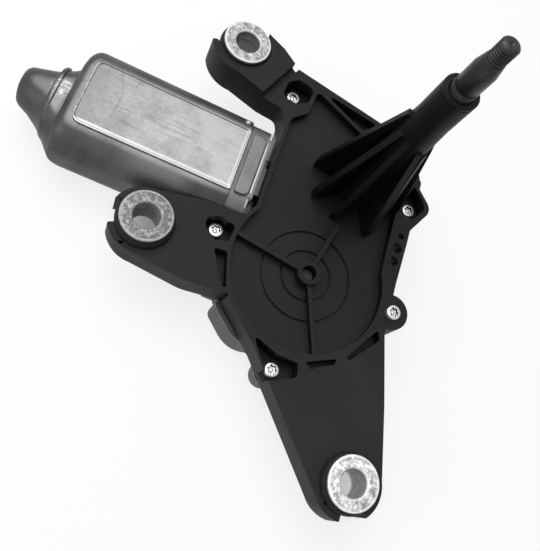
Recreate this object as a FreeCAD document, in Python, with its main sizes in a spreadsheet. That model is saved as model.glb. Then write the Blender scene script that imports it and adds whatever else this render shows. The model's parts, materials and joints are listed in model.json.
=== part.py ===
# Rear wiper motor of a car: a plastic front housing with three rubber mounted
# feet and a spindle tower, a die-cast rear housing, a flattened motor can, a worm
# and wheel, and a toothed rod and tie link that turn full turns of the wheel into
# the to and fro swing of the wiper spindle.
# Frame: the origin is on the spindle axis, in the plane of the three mounting
# sleeves' front faces. Z runs up the spindle and X along the motor, from its nose
# to the gears. Lengths are in millimetres and angles in degrees.
import FreeCAD, Part
import Sketcher
import math
import os
from FreeCAD import Placement, Rotation, Vector

os.makedirs("parts", exist_ok=True)
doc = FreeCAD.newDocument("wiper_motor")

# Driving dimensions, grouped by the piece that they belong to.
DIMENSIONS = {
    # Mounting sleeves and their rubber grommets.
    "sleeve_flange_radius": 12.0,
    "sleeve_flange_depth": 2.0,
    "sleeve_outer_radius": 7.6,
    "sleeve_bore_radius": 6.0,
    "sleeve_bore_chamfer": 0.7,
    "sleeve_length": 17.0,
    "grommet_ring_radius": 14.6,
    "grommet_waist_radius": 10.6,
    "grommet_foot_radius": 13.2,
    "grommet_foot_depth": 3.6,
    "top_ear_x": -79.3,
    "top_ear_y": 44.8,
    "top_ear_outer_radius": 17.5,
    "left_ear_x": -91.4,
    "left_ear_y": -63.4,
    "bottom_ear_x": 31.1,
    "bottom_ear_y": -140.0,
    "ear_outer_radius": 16.2,
    "ear_slot_width": 20.0,
    "ear_plate_depth": 4.0,
    "ear_boss_gap": 0.3,
    "ear_lift": 4.0,
    # Front housing.
    "deck_level": -6.0,
    "deck_wall": 2.6,
    "skirt_level": -19.6,
    "floor_level": -10.6,
    "floor_depth": 2.6,
    "case_radius": 40.2,
    "case_wall": 2.4,
    "rib_width": 2.0,
    "hub_radius": 5.8,
    "hub_level": -5.0,
    "large_groove_radius": 22.9,
    "small_groove_radius": 13.0,
    "groove_width": 1.3,
    "groove_depth": 1.2,
    "pocket_level": -15.0,
    "pocket_wall": 1.8,
    "lightening_depth": 6.0,
    "screw_boss_radius": 5.6,
    # Spindle tower.
    "tube_outer_radius": 8.2,
    "tube_base_radius": 11.5,
    "tube_top_level": 80.8,
    "tube_lip_depth": 1.6,
    "tube_lip_groove": 0.5,
    "gusset_top_level": 57.0,
    "gusset_top_width": 1.6,
    "gusset_base_width": 3.0,
    # Spindle.
    "spindle_radius": 5.45,
    "spindle_bottom_level": -35.0,
    "spindle_cone_level": 95.7,
    "spindle_thread_level": 101.7,
    "spindle_tip_level": 110.5,
    "spindle_thread_radius": 4.0,
    "spindle_tip_chamfer": 0.7,
    "bush_wall": 1.6,
    "bush_length": 14.0,
    "upper_bush_level": 64.0,
    "running_clearance": 0.05,
    "seal_depth": 2.4,
    "circlip_radius": 7.4,
    "circlip_depth": 1.0,
    "clip_gap": 0.3,
    # Gear train.
    "wheel_x": -13.0,
    "wheel_y": -56.0,
    "motor_y": -17.5,
    "gear_level": -20.5,
    "wheel_teeth": 56,
    "wheel_width": 8.0,
    "worm_pitch_radius": 4.9,
    "worm_length": 44.0,
    "worm_backlash": 0.5,
    "wheel_axle_radius": 3.6,
    "axle_sink": 4.6,
    "wheel_hub_radius": 7.0,
    "wheel_web_depth": 3.6,
    "crank_radius": 11.0,
    "crank_pin_radius": 3.0,
    "crank_pin_reach": 2.0,
    "link_module": 1.1,
    "pinion_teeth": 20,
    "sector_teeth": 24,
    "link_backlash": 0.3,
    "rod_top_level": -27.0,
    "rod_depth": 4.0,
    "rod_width": 10.0,
    "link_depth": 2.0,
    "link_gap": 0.3,
    "link_width": 12.0,
    "pivot_pin_radius": 3.0,
    "pivot_head_radius": 4.6,
    "pivot_head_depth": 0.8,
    # Rear housing.
    "case_bottom_level": -38.5,
    "case_floor_depth": 2.2,
    "rear_wall": 2.6,
    "gasket_depth": 0.8,
    "lug_radius": 6.2,
    "pan_edge_radius": 2.0,
    "pan_boss_radius": 9.0,
    "pan_boss_rise": 1.2,
    # Motor.
    "can_half_width": 29.0,
    "can_half_height": 18.0,
    "can_corner_radius": 15.0,
    "can_wall": 1.8,
    "can_end_x": -144.0,
    "can_mouth_x": -61.5,
    "can_end_radius": 6.5,
    "nose_radius": 12.0,
    "nose_collar_radius": 13.4,
    "nose_end_x": -167.0,
    "nose_tip_radius": 7.0,
    "pad_rise": 0.9,
    "pad_half_width": 17.0,
    "pad_margin": 1.5,
    "pad_corner_radius": 4.0,
    "neck_inner_x": -50.6,
    "neck_half_width": 17.5,
    "neck_top_level": -2.7,
    "motor_flange_depth": 10.0,
    "motor_flange_step": 1.4,
    "nose_bore_radius": 9.0,
    "can_clearance": 0.6,
    "armature_shaft_radius": 4.0,
    "lamination_radius": 14.4,
    "lamination_length": 32.0,
    "lamination_slots": 10,
    "winding_radius": 13.0,
    "winding_overhang": 8.0,
    "commutator_radius": 8.0,
    "commutator_length": 11.0,
    "magnet_depth": 5.2,
    "air_gap": 0.8,
    "brush_card_depth": 2.4,
    "brush_width": 4.4,
    "brush_height": 4.0,
    "brush_length": 6.0,
    # Fasteners.
    "screw_head_radius": 4.0,
    "screw_head_depth": 3.0,
    "screw_shank_radius": 2.4,
    "screw_grip": 8.0,
    "screw_drive_radius": 1.9,
    "screw_drive_depth": 1.6,
    # Connector.
    "socket_width": 18.0,
    "socket_height": 13.0,
    "socket_length": 20.0,
    "socket_depth": 14.0,
    "socket_wall": 1.6,
    "socket_seat": 6.0,
    "socket_x": -53.4,
    "socket_y": -67.0,
    "socket_drop": 9.0,
    "blade_width": 2.8,
    "blade_thickness": 0.8,
    "blade_length": 10.0,
    "blade_pitch": 4.5,
}

sheet = doc.addObject("Spreadsheet::Sheet", "sizes")
for row, (alias, number) in enumerate(DIMENSIONS.items(), start=1):
    sheet.set("A%d" % row, alias)
    sheet.set("B%d" % row, str(number))
    sheet.setAlias("B%d" % row, alias)
doc.recompute()


class Size:
    """A number with the spreadsheet formula that it comes from."""

    def __init__(self, number, formula):
        self.number = float(number)
        self.formula = formula

    def __add__(self, other):
        other = as_size(other)
        return Size(self.number + other.number, "(%s + %s)" % (self.formula, other.formula))

    def __sub__(self, other):
        other = as_size(other)
        return Size(self.number - other.number, "(%s - %s)" % (self.formula, other.formula))

    def __mul__(self, other):
        other = as_size(other)
        return Size(self.number * other.number, "(%s * %s)" % (self.formula, other.formula))

    def __truediv__(self, other):
        other = as_size(other)
        return Size(self.number / other.number, "(%s / %s)" % (self.formula, other.formula))

    def __neg__(self):
        return Size(-self.number, "(0 - %s)" % self.formula)

    def __float__(self):
        return self.number

    __radd__ = __add__
    __rmul__ = __mul__

    def __rsub__(self, other):
        return as_size(other) - self


def as_size(value):
    """A plain number becomes a size that no cell drives."""
    if isinstance(value, Size):
        return value
    return Size(value, "%.6f" % value)


class Sheet:
    """Gives each cell of the sheet as a size, by its alias."""

    def __getattr__(self, alias):
        return Size(sheet.get(alias), "sizes." + alias)


s = Sheet()
cuts = []
steps = []


def bind(feature, name, value):
    """Ties one property of a feature to the sheet."""
    feature.setExpression(name, as_size(value).formula)


def new_body(label, is_node=True):
    """A body. One that is only a step towards a sub-part isn't a node."""
    body = doc.addObject("PartDesign::Body", label)
    body.Label = label
    if not is_node:
        steps.append(body)
    return body


def new_sketch(body, role="XY_Plane", offset=0.0, turn=0.0):
    """A sketch on one of the body's own origin planes, moved along its normal.
    On the XZ plane, turn swings the sketch about the Z axis."""
    sketch = body.newObject("Sketcher::SketchObject", body.Name + "_sketch")
    plane = [item for item in body.Origin.OriginFeatures if item.Role == role][0]
    sketch.AttachmentSupport = [(plane, "")]
    sketch.MapMode = "FlatFace"
    sketch.AttachmentOffset = Placement(Vector(0, 0, float(offset)), Rotation(Vector(0, 1, 0), turn))
    if isinstance(offset, Size):
        bind(sketch, "AttachmentOffset.Base.z", offset)
    return sketch


def draw_profile(sketch, corners):
    """A closed line through corners whose coordinates are tied to the sheet."""
    points = [Vector(float(x), float(y), 0) for x, y in corners]
    for index, point in enumerate(points):
        sketch.addGeometry(Part.LineSegment(point, points[(index + 1) % len(points)]), False)
    for index in range(len(points)):
        following = (index + 1) % len(points)
        sketch.addConstraint(Sketcher.Constraint("Coincident", index, 2, following, 1))
    for index, corner in enumerate(corners):
        for kind, value in zip(("DistanceX", "DistanceY"), corner):
            place = sketch.addConstraint(Sketcher.Constraint(kind, -1, 1, index, 1, float(value)))
            bind(sketch, "Constraints[%d]" % place, value)


def draw_circle(sketch, x, y, radius):
    """A circle whose centre and radius are tied to the sheet."""
    circle = Part.Circle(Vector(float(x), float(y), 0), Vector(0, 0, 1), float(radius))
    index = sketch.addGeometry(circle, False)
    rules = (
        (Sketcher.Constraint("DistanceX", -1, 1, index, 3, float(x)), x),
        (Sketcher.Constraint("DistanceY", -1, 1, index, 3, float(y)), y),
        (Sketcher.Constraint("Radius", index, float(radius)), radius),
    )
    for rule, value in rules:
        bind(sketch, "Constraints[%d]" % sketch.addConstraint(rule), value)


def draw_edges(sketch, *shapes):
    """The lines and arcs of flat shapes that were worked out from the sizes."""
    for edge in [edge for shape in shapes for edge in shape.Edges]:
        start = edge.valueAt(edge.FirstParameter)
        middle = edge.valueAt((edge.FirstParameter + edge.LastParameter) / 2)
        end = edge.valueAt(edge.LastParameter)
        for point in (start, middle, end):
            point.z = 0
        if edge.Curve.TypeId == "Part::GeomLine":
            sketch.addGeometry(Part.LineSegment(start, end), False)
        elif edge.isClosed():
            centre = Vector(edge.Curve.Center.x, edge.Curve.Center.y, 0)
            sketch.addGeometry(Part.Circle(centre, Vector(0, 0, 1), edge.Curve.Radius), False)
        else:
            sketch.addGeometry(Part.Arc(start, middle, end), False)


def feature(body, kind, sketch, **sizes):
    """A feature of the body on a sketch, with its sizes tied to the sheet."""
    item = body.newObject("PartDesign::" + kind, body.Name + "_" + kind.lower())
    item.Refine = False
    item.Profile = sketch
    for name, value in sizes.items():
        if isinstance(value, (Size, float)):
            bind(item, name, value)
        else:
            setattr(item, name, value)
    sketch.Visibility = False
    return item


def pad(body, sketch, length, reversed_way=False, **more):
    return feature(body, "Pad", sketch, Length=as_size(length), Reversed=reversed_way, **more)


def cut(body, sketch, depth, upwards=False):
    """Takes material away along -Z of the sketch, or upwards."""
    item = feature(body, "Pocket", sketch, Length=as_size(depth), Reversed=upwards)
    cuts.append(item)
    return item


def pad_shape(body, flat, level, height, reversed_way=False):
    sketch = new_sketch(body, "XY_Plane", level)
    draw_edges(sketch, flat)
    return pad(body, sketch, height, reversed_way)


def cut_shapes(body, flats, level, depth, upwards=False):
    sketch = new_sketch(body, "XY_Plane", level)
    draw_edges(sketch, *flats)
    return cut(body, sketch, depth, upwards)


def built_edges(item):
    """The edges of a feature, once it is built."""
    doc.recompute()
    return item.Shape.Edges


def round_edges(body, item, chosen, radius):
    """A fillet on the chosen edges, one true or false for each edge of the feature."""
    fillet = body.newObject("PartDesign::Fillet", body.Name + "_fillet")
    fillet.Base = (item, ["Edge%d" % (index + 1) for index, taken in enumerate(chosen) if taken])
    bind(fillet, "Radius", radius)


def turned_body(label, corners, x=0.0, y=0.0, z=0.0, along_x=False):
    """A solid of revolution: corners are (radius, height) pairs on its own axis,
    which stands along Z, or lies along X, through the given point."""
    body = new_body(label)
    sketch = new_sketch(body, "XZ_Plane")
    draw_profile(sketch, corners)
    feature(body, "Revolution", sketch, ReferenceAxis=(sketch, ["V_Axis"]), Angle=360.0)
    turn = Rotation(Vector(0, 1, 0), 90) if along_x else Rotation()
    body.Placement = Placement(Vector(float(x), float(y), float(z)), turn)
    for axis, value in zip("xyz", (x, y, z)):
        if isinstance(value, Size):
            bind(body, "Placement.Base." + axis, value)
    return body


def anticlockwise(corners):
    """The corners in the order that turns their face up."""
    pairs = zip(corners, corners[1:] + corners[:1])
    twice_area = sum(first[0] * second[1] - second[0] * first[1] for first, second in pairs)
    return corners if twice_area > 0 else corners[::-1]


def rounded(corners):
    """A flat face whose outline runs through (x, y, radius) corners, each rounded
    by an arc that touches both of its sides."""
    corners = anticlockwise([(float(x), float(y), float(radius)) for x, y, radius in corners])
    points = [Vector(x, y, 0) for x, y, radius in corners]
    radii = [radius for x, y, radius in corners]
    edges = []
    ends = []
    for index, point in enumerate(points):
        to_last = (points[index - 1] - point).normalize()
        to_next = (points[(index + 1) % len(points)] - point).normalize()
        if radii[index] <= 0:
            ends.append((point, point))
            continue
        half = to_last.getAngle(to_next) / 2
        reach = radii[index] / math.tan(half)
        middle_way = (to_last + to_next).normalize()
        centre = point + middle_way * (radii[index] / math.sin(half))
        first = point + to_last * reach
        last = point + to_next * reach
        ends.append((first, last))
        edges.append(Part.Arc(first, centre - middle_way * radii[index], last).toShape())
    for index in range(len(points)):
        start = ends[index][1]
        end = ends[(index + 1) % len(points)][0]
        if start.distanceToPoint(end) > 1e-6:
            edges.append(Part.LineSegment(start, end).toShape())
    return Part.Face(Part.Wire(Part.__sortEdges__(edges)))


def disc(x, y, radius):
    circle = Part.Circle(Vector(float(x), float(y), 0), Vector(0, 0, 1), float(radius))
    return Part.Face(Part.Wire(circle.toShape()))


def joined(*faces):
    """One flat face of several that overlap."""
    whole = faces[0].multiFuse(list(faces[1:])).removeSplitter()
    return largest(whole)


def largest(shape):
    return max(shape.Faces, key=lambda face: face.Area)


def inward(face, wall):
    """The flat face with a wall's thickness taken off all round."""
    return largest(face.makeOffset2D(-float(wall), join=0, fill=False, openResult=False))


def slot_bar(x, y, direction, width, length):
    """A flat bar from a point, as wide and long as given, along a direction."""
    way = Vector(math.cos(math.radians(direction)), math.sin(math.radians(direction)), 0)
    side = Vector(-way.y, way.x, 0) * (float(width) / 2)
    start = Vector(float(x), float(y), 0)
    end = start + way * float(length)
    corners = [start - side, end - side, end + side, start + side, start - side]
    return Part.Face(Part.makePolygon(corners))


def pieces_label(shape, label):
    """A sub-part that is set by its shape, made of one or more separate solids."""
    item = doc.addObject("Part::Feature", label)
    item.Label = label
    item.Shape = shape
    return item


def bore(body, circles, level, depth, upwards=False):
    """Round holes of one depth, each circle an (x, y, radius)."""
    sketch = new_sketch(body, "XY_Plane", level)
    for x, y, radius in circles:
        draw_circle(sketch, x, y, radius)
    return cut(body, sketch, depth, upwards)


# Places that several pieces share.
EARS = (
    ("top", s.top_ear_x, s.top_ear_y, 111.0),
    ("left", s.left_ear_x, s.left_ear_y, 202.0),
    ("bottom", s.bottom_ear_x, s.bottom_ear_y, 278.0),
)
HOUSING_SCREWS = (
    (-46.8, 35.2),
    (-60.2, -51.4),
    (-14.7, -103.8),
    (31.8, -58.5),
    (30.3, 2.2),
)
HIGH_SCREW = 3
wheel_x = s.wheel_x
wheel_y = s.wheel_y
case_bottom = s.case_bottom_level
floor_under = s.floor_level - s.floor_depth
gasket_level = s.skirt_level - s.gasket_depth

# Flat outlines, seen along the spindle.
left_face_x = float(s.neck_inner_x) + 3.6
case_disc = disc(wheel_x, wheel_y, s.case_radius)
case_head = rounded((
    (left_face_x, -44, 0), (left_face_x, 30, 3), (-38, 46.0, 3), (1.7, 40.0, 6),
    (30.5, 20.0, 6), (22.6, -14, 3), (23.4, -46, 0), (wheel_x, -50, 0),
))
case_outline = joined(case_disc, case_head)
right_rim = rounded((
    (10, 30, 0), (31, 17.5, 3), (31.2, -20, 6), (30.6, -43, 5), (31, -74, 0), (0, -80, 0),
))
upper_lobe = rounded((
    (20.0, 23.4, 0), (28.0, 15.8, 0), (40.2, 3.9, 6), (31.2, -12.2, 0), (20.0, -12.0, 0),
))
lower_lobe = disc(31.6, -57.8, 8.8)
top_arm = rounded((
    (-79.3, 27.4, 0), (-62, 22.6, 8), (-50.8, 21.6, 4), (left_face_x, 12, 0), (-20, 0, 0),
    (1.7, 40.0, 0), (-51.6, 48.4, 4), (-69.6, 59.4, 0),
))
left_arm = rounded((
    (-91.4, -47.2, 0), (-66, -41.6, 20), (left_face_x, -40.6, 0), (-20, -60, 0),
    (-46, -80.2, 4), (-66, -82.4, 20), (-91.4, -79.6, 0),
))
bottom_arm = rounded((
    (-48, -80, 3), (-26.6, -99.2, 30), (18.6, -150.2, 0), (38.6, -148.4, 0),
    (47.2, -138.6, 0), (39.3, -102.3, 60), (31.2, -70, 0), (-10, -60, 0),
))
ear_discs = [disc(s.top_ear_x, s.top_ear_y, s.top_ear_outer_radius),
             disc(s.left_ear_x, s.left_ear_y, s.ear_outer_radius),
             disc(s.bottom_ear_x, s.bottom_ear_y, s.ear_outer_radius)]
deck = joined(case_outline, right_rim, upper_lobe, lower_lobe, top_arm, left_arm, bottom_arm, *ear_discs)


def ear_slot(x, y, direction, radius):
    bar = slot_bar(x, y, direction, s.ear_slot_width, s.ear_outer_radius + 4)
    return joined(disc(x, y, radius), bar)


# Front housing: skirted deck with three open ears, a sunk floor over the gears,
# ribs, screw pockets, hub and the spindle tower.
front = new_body("front_housing")
pad_shape(front, deck, s.deck_level, s.deck_level - s.skirt_level, True)
top_ear_zone = deck.common(rounded((
    (-110, 15, 0), (-66.5, 15, 0), (-52.2, 49.4, 0), (-60, 75, 0), (-110, 75, 0),
)))
pad_shape(front, largest(top_ear_zone), s.deck_level, s.ear_lift)
recess = joined(
    disc(wheel_x, wheel_y, s.case_radius - s.rib_width),
    rounded((
        (left_face_x + 2, -44, 0), (left_face_x + 2, 19, 4), (-37.5, 26, 4), (-36.4, 41, 2),
        (-7.4, 28.4, 2), (11, 23, 3), (21.2, 8, 3), (21.6, -30, 4), (22.4, -50, 0), (wheel_x, -50, 0),
    )),
)
cut_shapes(front, [recess], s.deck_level, s.deck_level - s.floor_level)
# Screw pockets, each a rounded well round its screw.
POCKETS = (
    ((-53.4, 28.8, 3), (-52.6, 38.4, 4), (-47.4, 42.4, 3), (-38.4, 40.6, 3), (-39.2, 32.0, 4),
     (-44.6, 28.0, 4)),
    ((-66.6, -54, 4), (-66.0, -48.4, 3), (-52.6, -48.0, 2), (-53.6, -57.0, 2), (-59.6, -59.0, 2)),
    ((-29.0, -93.4, 1), (-16.0, -98.0, 3), (-5.6, -98.4, 1), (-4.2, -104.6, 2), (-17.0, -111.0, 2)),
    ((27.9, 13.4, 1), (36.9, 4.1, 4.4), (31.6, -6.0, 2), (24.0, -4.6, 1.5), (24.6, 4.5, 1.5)),
)
# Small blind pockets between the dome's rim and the arms.
LIGHTENING = (
    ((-58.9, -62.4, 1), (-52.4, -61.9, 0.6), (-47.6, -78.0, 0.6), (-49.6, -78.6, 0.6)),
    ((-2.8, -96.6, 0.6), (11.4, -89.8, 0.6), (11.0, -92.8, 0.6), (4.0, -96.6, 1), (0.8, -99.0, 0.6)),
    ((15.6, -87.2, 0.6), (27.6, -68.6, 1), (29.5, -73.6, 1), (17.2, -88.2, 0.6)),
    ((-34.6, 42.4, 1), (-7.4, 30.4, 0.8), (-0.8, 37.8, 1)),
)
pockets = [rounded(corners) for corners in POCKETS]
lightening = [rounded(corners) for corners in LIGHTENING]
pocket_bosses = [largest(outline.makeOffset2D(float(s.pocket_wall))) for outline in pockets + lightening]
case_cavity = largest(inward(case_outline, s.case_wall).cut(pocket_bosses))
cut_shapes(front, [case_cavity], s.skirt_level, floor_under - s.skirt_level, True)

# The arms are hollow from behind: the deck with its wall taken off, less the gear
# case, the ears and the screw bosses.
ARM_RIBS = (
    (-90.0, -62.0, 0.0, 44.0), (-66.0, -84.0, 84.0, 20.0), (31.0, -138.0, 116.0, 60.0),
    (8.0, -138.0, 32.0, 48.0), (-8.0, -118.0, 32.0, 56.0), (-79.0, 44.0, 342.0, 30.0),
)
hollow = inward(deck, s.deck_wall)
blocks = [case_outline] + [disc(x, y, s.sleeve_flange_radius + 3.2) for _, x, y, _ in EARS]
blocks += [disc(x, y, s.screw_boss_radius) for x, y in HOUSING_SCREWS] + pocket_bosses
blocks += [slot_bar(x, y, direction, s.rib_width, length) for x, y, direction, length in ARM_RIBS]
hollows = [part for part in hollow.cut(blocks).Faces if part.Area > 60]
cut_shapes(front, hollows, s.skirt_level, s.deck_level - s.deck_wall - s.skirt_level, True)

slots = [ear_slot(x, y, direction, s.grommet_waist_radius) for name, x, y, direction in EARS]
ear_top = s.deck_level + s.ear_lift
cut_shapes(front, slots, ear_top, ear_top - s.skirt_level)
ear_under = s.deck_level - s.ear_plate_depth
bore(front, [(x, y, s.grommet_foot_radius + s.ear_boss_gap) for name, x, y, direction in EARS],
     s.skirt_level, ear_under - s.skirt_level, True)
bore(front, [(s.top_ear_x, s.top_ear_y, s.grommet_ring_radius + s.ear_boss_gap)], ear_top, s.ear_lift)

cut_shapes(front, pockets, s.deck_level, s.deck_level - s.pocket_level)
sunk_screws = [spot for index, spot in enumerate(HOUSING_SCREWS) if index != HIGH_SCREW]
bore(front, [(x, y, s.screw_head_radius + 0.5) for x, y in sunk_screws], s.deck_level,
     s.deck_level - s.pocket_level)
bore(front, [(x, y, s.screw_shank_radius + 0.2) for x, y in HOUSING_SCREWS], s.deck_level,
     s.deck_level - s.skirt_level)

cut_shapes(front, lightening, s.deck_level, s.lightening_depth)
# Three round holes beside the dome.
bore(front, ((27.4, -17.4, 1.7), (26.8, -24.6, 2.6), (26.6, -32.0, 2.4)), s.deck_level,
     s.deck_level - s.skirt_level)

# Notch in the case wall over the worm shaft's bearing block, and the hollow that
# clears the motor can beside the arms.
def can_section(half_width, half_height, corner):
    """The can's rounded section, in its own Y and Z."""
    return rounded((
        (s.motor_y - half_width, s.gear_level - half_height, corner),
        (s.motor_y + half_width, s.gear_level - half_height, corner),
        (s.motor_y + half_width, s.gear_level + half_height, corner),
        (s.motor_y - half_width, s.gear_level + half_height, corner),
    ))


def cut_can_room(body, start_x):
    """Takes away what is closer to the motor can than its clearance."""
    sketch = new_sketch(body, "YZ_Plane", start_x)
    draw_edges(sketch, can_section(s.can_half_width + s.can_clearance, s.can_half_height + s.can_clearance,
                                   s.can_corner_radius + s.can_clearance))
    cut(body, sketch, start_x - s.can_end_x)


def block_outline(start_x, length, half_width):
    """A rectangle across the motor axis, seen along the spindle."""
    return rounded((
        (start_x, s.motor_y - half_width, 0), (start_x + length, s.motor_y - half_width, 0),
        (start_x + length, s.motor_y + half_width, 0), (start_x, s.motor_y + half_width, 0),
    ))


neck_block_x = left_face_x - 4.0
neck_block_length = 8.5
neck_block_half_width = 8.0
neck_block_top = s.gear_level + 6.7
cut_shapes(front, [block_outline(neck_block_x, neck_block_length + 0.4, neck_block_half_width + 0.4)],
           s.skirt_level, neck_block_top + 0.4 - s.skirt_level, True)
cut_can_room(front, s.can_mouth_x + s.motor_flange_depth + s.can_clearance)

# Hub, grooves and ribs on the sunk floor.
rings = []
for radius in (s.large_groove_radius, s.small_groove_radius):
    rings += [(wheel_x, wheel_y, radius), (wheel_x, wheel_y, radius - s.groove_width)]
bore(front, rings, s.floor_level, s.groove_depth)
sketch = new_sketch(front, "XY_Plane", floor_under)
draw_circle(sketch, wheel_x, wheel_y, s.hub_radius)
pad(front, sketch, s.hub_level - floor_under)
hub_disc = disc(wheel_x, wheel_y, s.hub_radius - 0.6)
floor_ribs = [slot_bar(wheel_x, wheel_y, direction, s.rib_width, reach).cut(hub_disc)
              for direction, reach in ((172.0, 38.6), (291.0, 38.6), (76.0, 31.0))]
sketch = new_sketch(front, "XY_Plane", s.floor_level - 0.5)
draw_edges(sketch, *floor_ribs)
pad(front, sketch, s.deck_level - s.floor_level)
bore(front, [(wheel_x, wheel_y, s.wheel_axle_radius)], s.hub_level, s.hub_level - floor_under)
bore(front, [(0.0, 0.0, s.tube_base_radius - 1.0)], s.deck_level, s.deck_level - floor_under)

# Tower: a tapered tube on a conical foot, held by straight gussets.
tower = new_body("tower_blank", is_node=False)
tower_foot = s.floor_level - 0.5
sketch = new_sketch(tower, "XZ_Plane")
draw_profile(sketch, (
    (s.spindle_radius, floor_under),
    (s.tube_base_radius, floor_under),
    (s.tube_base_radius, s.deck_level),
    (s.tube_outer_radius + 0.5, s.gusset_top_level - 6.0),
    (s.tube_outer_radius, s.gusset_top_level + 4.0),
    (s.tube_outer_radius, s.tube_top_level - s.tube_lip_depth),
    (s.tube_outer_radius - s.tube_lip_groove, s.tube_top_level - s.tube_lip_depth),
    (s.tube_outer_radius - s.tube_lip_groove, s.tube_top_level - s.tube_lip_depth + 0.5),
    (s.tube_outer_radius, s.tube_top_level - s.tube_lip_depth + 0.5),
    (s.tube_outer_radius, s.tube_top_level),
    (s.spindle_radius, s.tube_top_level),
))
feature(tower, "Revolution", sketch, ReferenceAxis=(sketch, ["V_Axis"]), Angle=360.0)
GUSSETS = (
    (174.0, 26.0, 0.0), (213.0, 26.4, 7.0), (247.0, 24.0, 7.0), (293.0, 25.6, 10.0), (324.0, 19.0, 13.0),
    (350.0, 22.6, 11.0), (52.0, 22.0, 7.0), (112.0, 26.0, 5.0),
)
for direction, reach, drop in GUSSETS:
    sketch = new_sketch(tower, "XZ_Plane", 0.0, direction)
    draw_profile(sketch, (
        (s.spindle_radius + 1.2, tower_foot),
        (reach, tower_foot),
        (reach, s.deck_level + 2.0),
        (s.tube_outer_radius + s.gusset_top_width, s.gusset_top_level - drop),
        (s.spindle_radius + 1.2, s.gusset_top_level - drop),
    ))
    pad(tower, sketch, s.gusset_base_width, Midplane=True)
# Bores through the tower for the spindle, its two bushes and the seal.
bush_radius = s.spindle_radius + s.bush_wall
seal_level = s.tube_top_level - s.seal_depth
bore(tower, [(0.0, 0.0, s.spindle_radius + 0.4)], s.tube_top_level, s.tube_top_level - floor_under)
bore(tower, [(0.0, 0.0, bush_radius)], seal_level, seal_level - s.upper_bush_level)
bore(tower, [(0.0, 0.0, bush_radius)], floor_under, s.bush_length, True)
bore(tower, [(0.0, 0.0, s.spindle_radius + 1.5)], s.tube_top_level, s.seal_depth)
# The tower stands on the deck's floor, so what the deck holds is taken off its foot.
spindle_tower = doc.addObject("Part::Cut", "spindle_tower")
spindle_tower.Label = "spindle_tower"
spindle_tower.Base = tower
spindle_tower.Tool = front


def socket_section(margin, corner):
    """The connector socket's section, larger all round by a margin."""
    half_width = s.socket_width / 2 + margin
    half_height = s.socket_height / 2 + margin
    middle = s.gear_level - s.socket_drop
    return rounded((
        (s.socket_y - half_width, middle - half_height, corner),
        (s.socket_y + half_width, middle - half_height, corner),
        (s.socket_y + half_width, middle + half_height, corner),
        (s.socket_y - half_width, middle + half_height, corner),
    ))


# Rear housing: a die-cast pan behind the deck, with a neck that carries the motor.
rear = new_body("rear_housing")
lugs = [disc(x, y, s.lug_radius) for x, y in HOUSING_SCREWS]
arm_lugs = [
    slot_bar(wheel_x, wheel_y, 174.0, 12.0, 47.0),
    slot_bar(wheel_x, wheel_y, 268.0, 12.0, 46.0),
    slot_bar(wheel_x, wheel_y, 357.0, 12.0, 44.0),
    slot_bar(10.0, 2.0, 0.0, 12.0, 20.0),
    slot_bar(-30.0, 30.0, 163.0, 12.0, 18.0),
]
pan_lobe = rounded(((-49.9, -81.4, 4), (-28.5, -100.6, 16), (-6.0, -80.0, 0), (-20.0, -60.0, 0)))
pan_outline = joined(inward(case_outline, 0.3), pan_lobe)
pan = joined(pan_outline, *lugs, *arm_lugs)
shell = pad_shape(rear, pan_outline, gasket_level, gasket_level - case_bottom, True)
round_edges(rear, shell, [edge.BoundBox.ZMax < float(case_bottom) + 1e-3 for edge in built_edges(shell)],
            s.pan_edge_radius)
pad_shape(rear, disc(wheel_x, wheel_y, s.pan_boss_radius), case_bottom, s.pan_boss_rise, True)
pad_shape(rear, disc(0.0, 0.0, s.pan_boss_radius), case_bottom, s.pan_boss_rise, True)
lug_depth = s.screw_grip + 1.0
pad_shape(rear, pan, gasket_level, lug_depth, True)
# The motor flange closes the can's mouth, and the neck joins it to the pan.
sketch = new_sketch(rear, "YZ_Plane", s.can_mouth_x)
draw_edges(sketch, can_section(s.can_half_width - s.motor_flange_step,
                               s.can_half_height - s.motor_flange_step,
                               s.can_corner_radius - s.motor_flange_step))
pad(rear, sketch, s.motor_flange_depth)


def neck_section(top):
    bottom = s.gear_level - s.can_half_height
    return rounded((
        (s.motor_y - s.neck_half_width, bottom, 3), (s.motor_y + s.neck_half_width, bottom, 3),
        (s.motor_y + s.neck_half_width, top, 2), (s.motor_y - s.neck_half_width, top, 2),
    ))


sketch = new_sketch(rear, "YZ_Plane", s.can_mouth_x + s.motor_flange_depth - 1.0)
draw_edges(sketch, neck_section(s.neck_top_level))
pad(rear, sketch, s.neck_inner_x - s.can_mouth_x - s.motor_flange_depth + 1.0)
sketch = new_sketch(rear, "YZ_Plane", s.neck_inner_x - 1.0)
draw_edges(sketch, neck_section(gasket_level))
pad(rear, sketch, left_face_x + 2.0 - s.neck_inner_x)
# Flat seat for the connector.
socket_level = s.gear_level - s.socket_drop
sketch = new_sketch(rear, "YZ_Plane", s.socket_x)
draw_edges(sketch, socket_section(0.6, 2.0))
pad(rear, sketch, s.socket_seat)
pan_cavity = inward(case_outline, s.rear_wall + 0.3)
cut_shapes(rear, [pan_cavity], gasket_level, gasket_level - case_bottom - s.case_floor_depth)
bore(rear, [(x, y, s.screw_shank_radius) for x, y in HOUSING_SCREWS], gasket_level, lug_depth)
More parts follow.
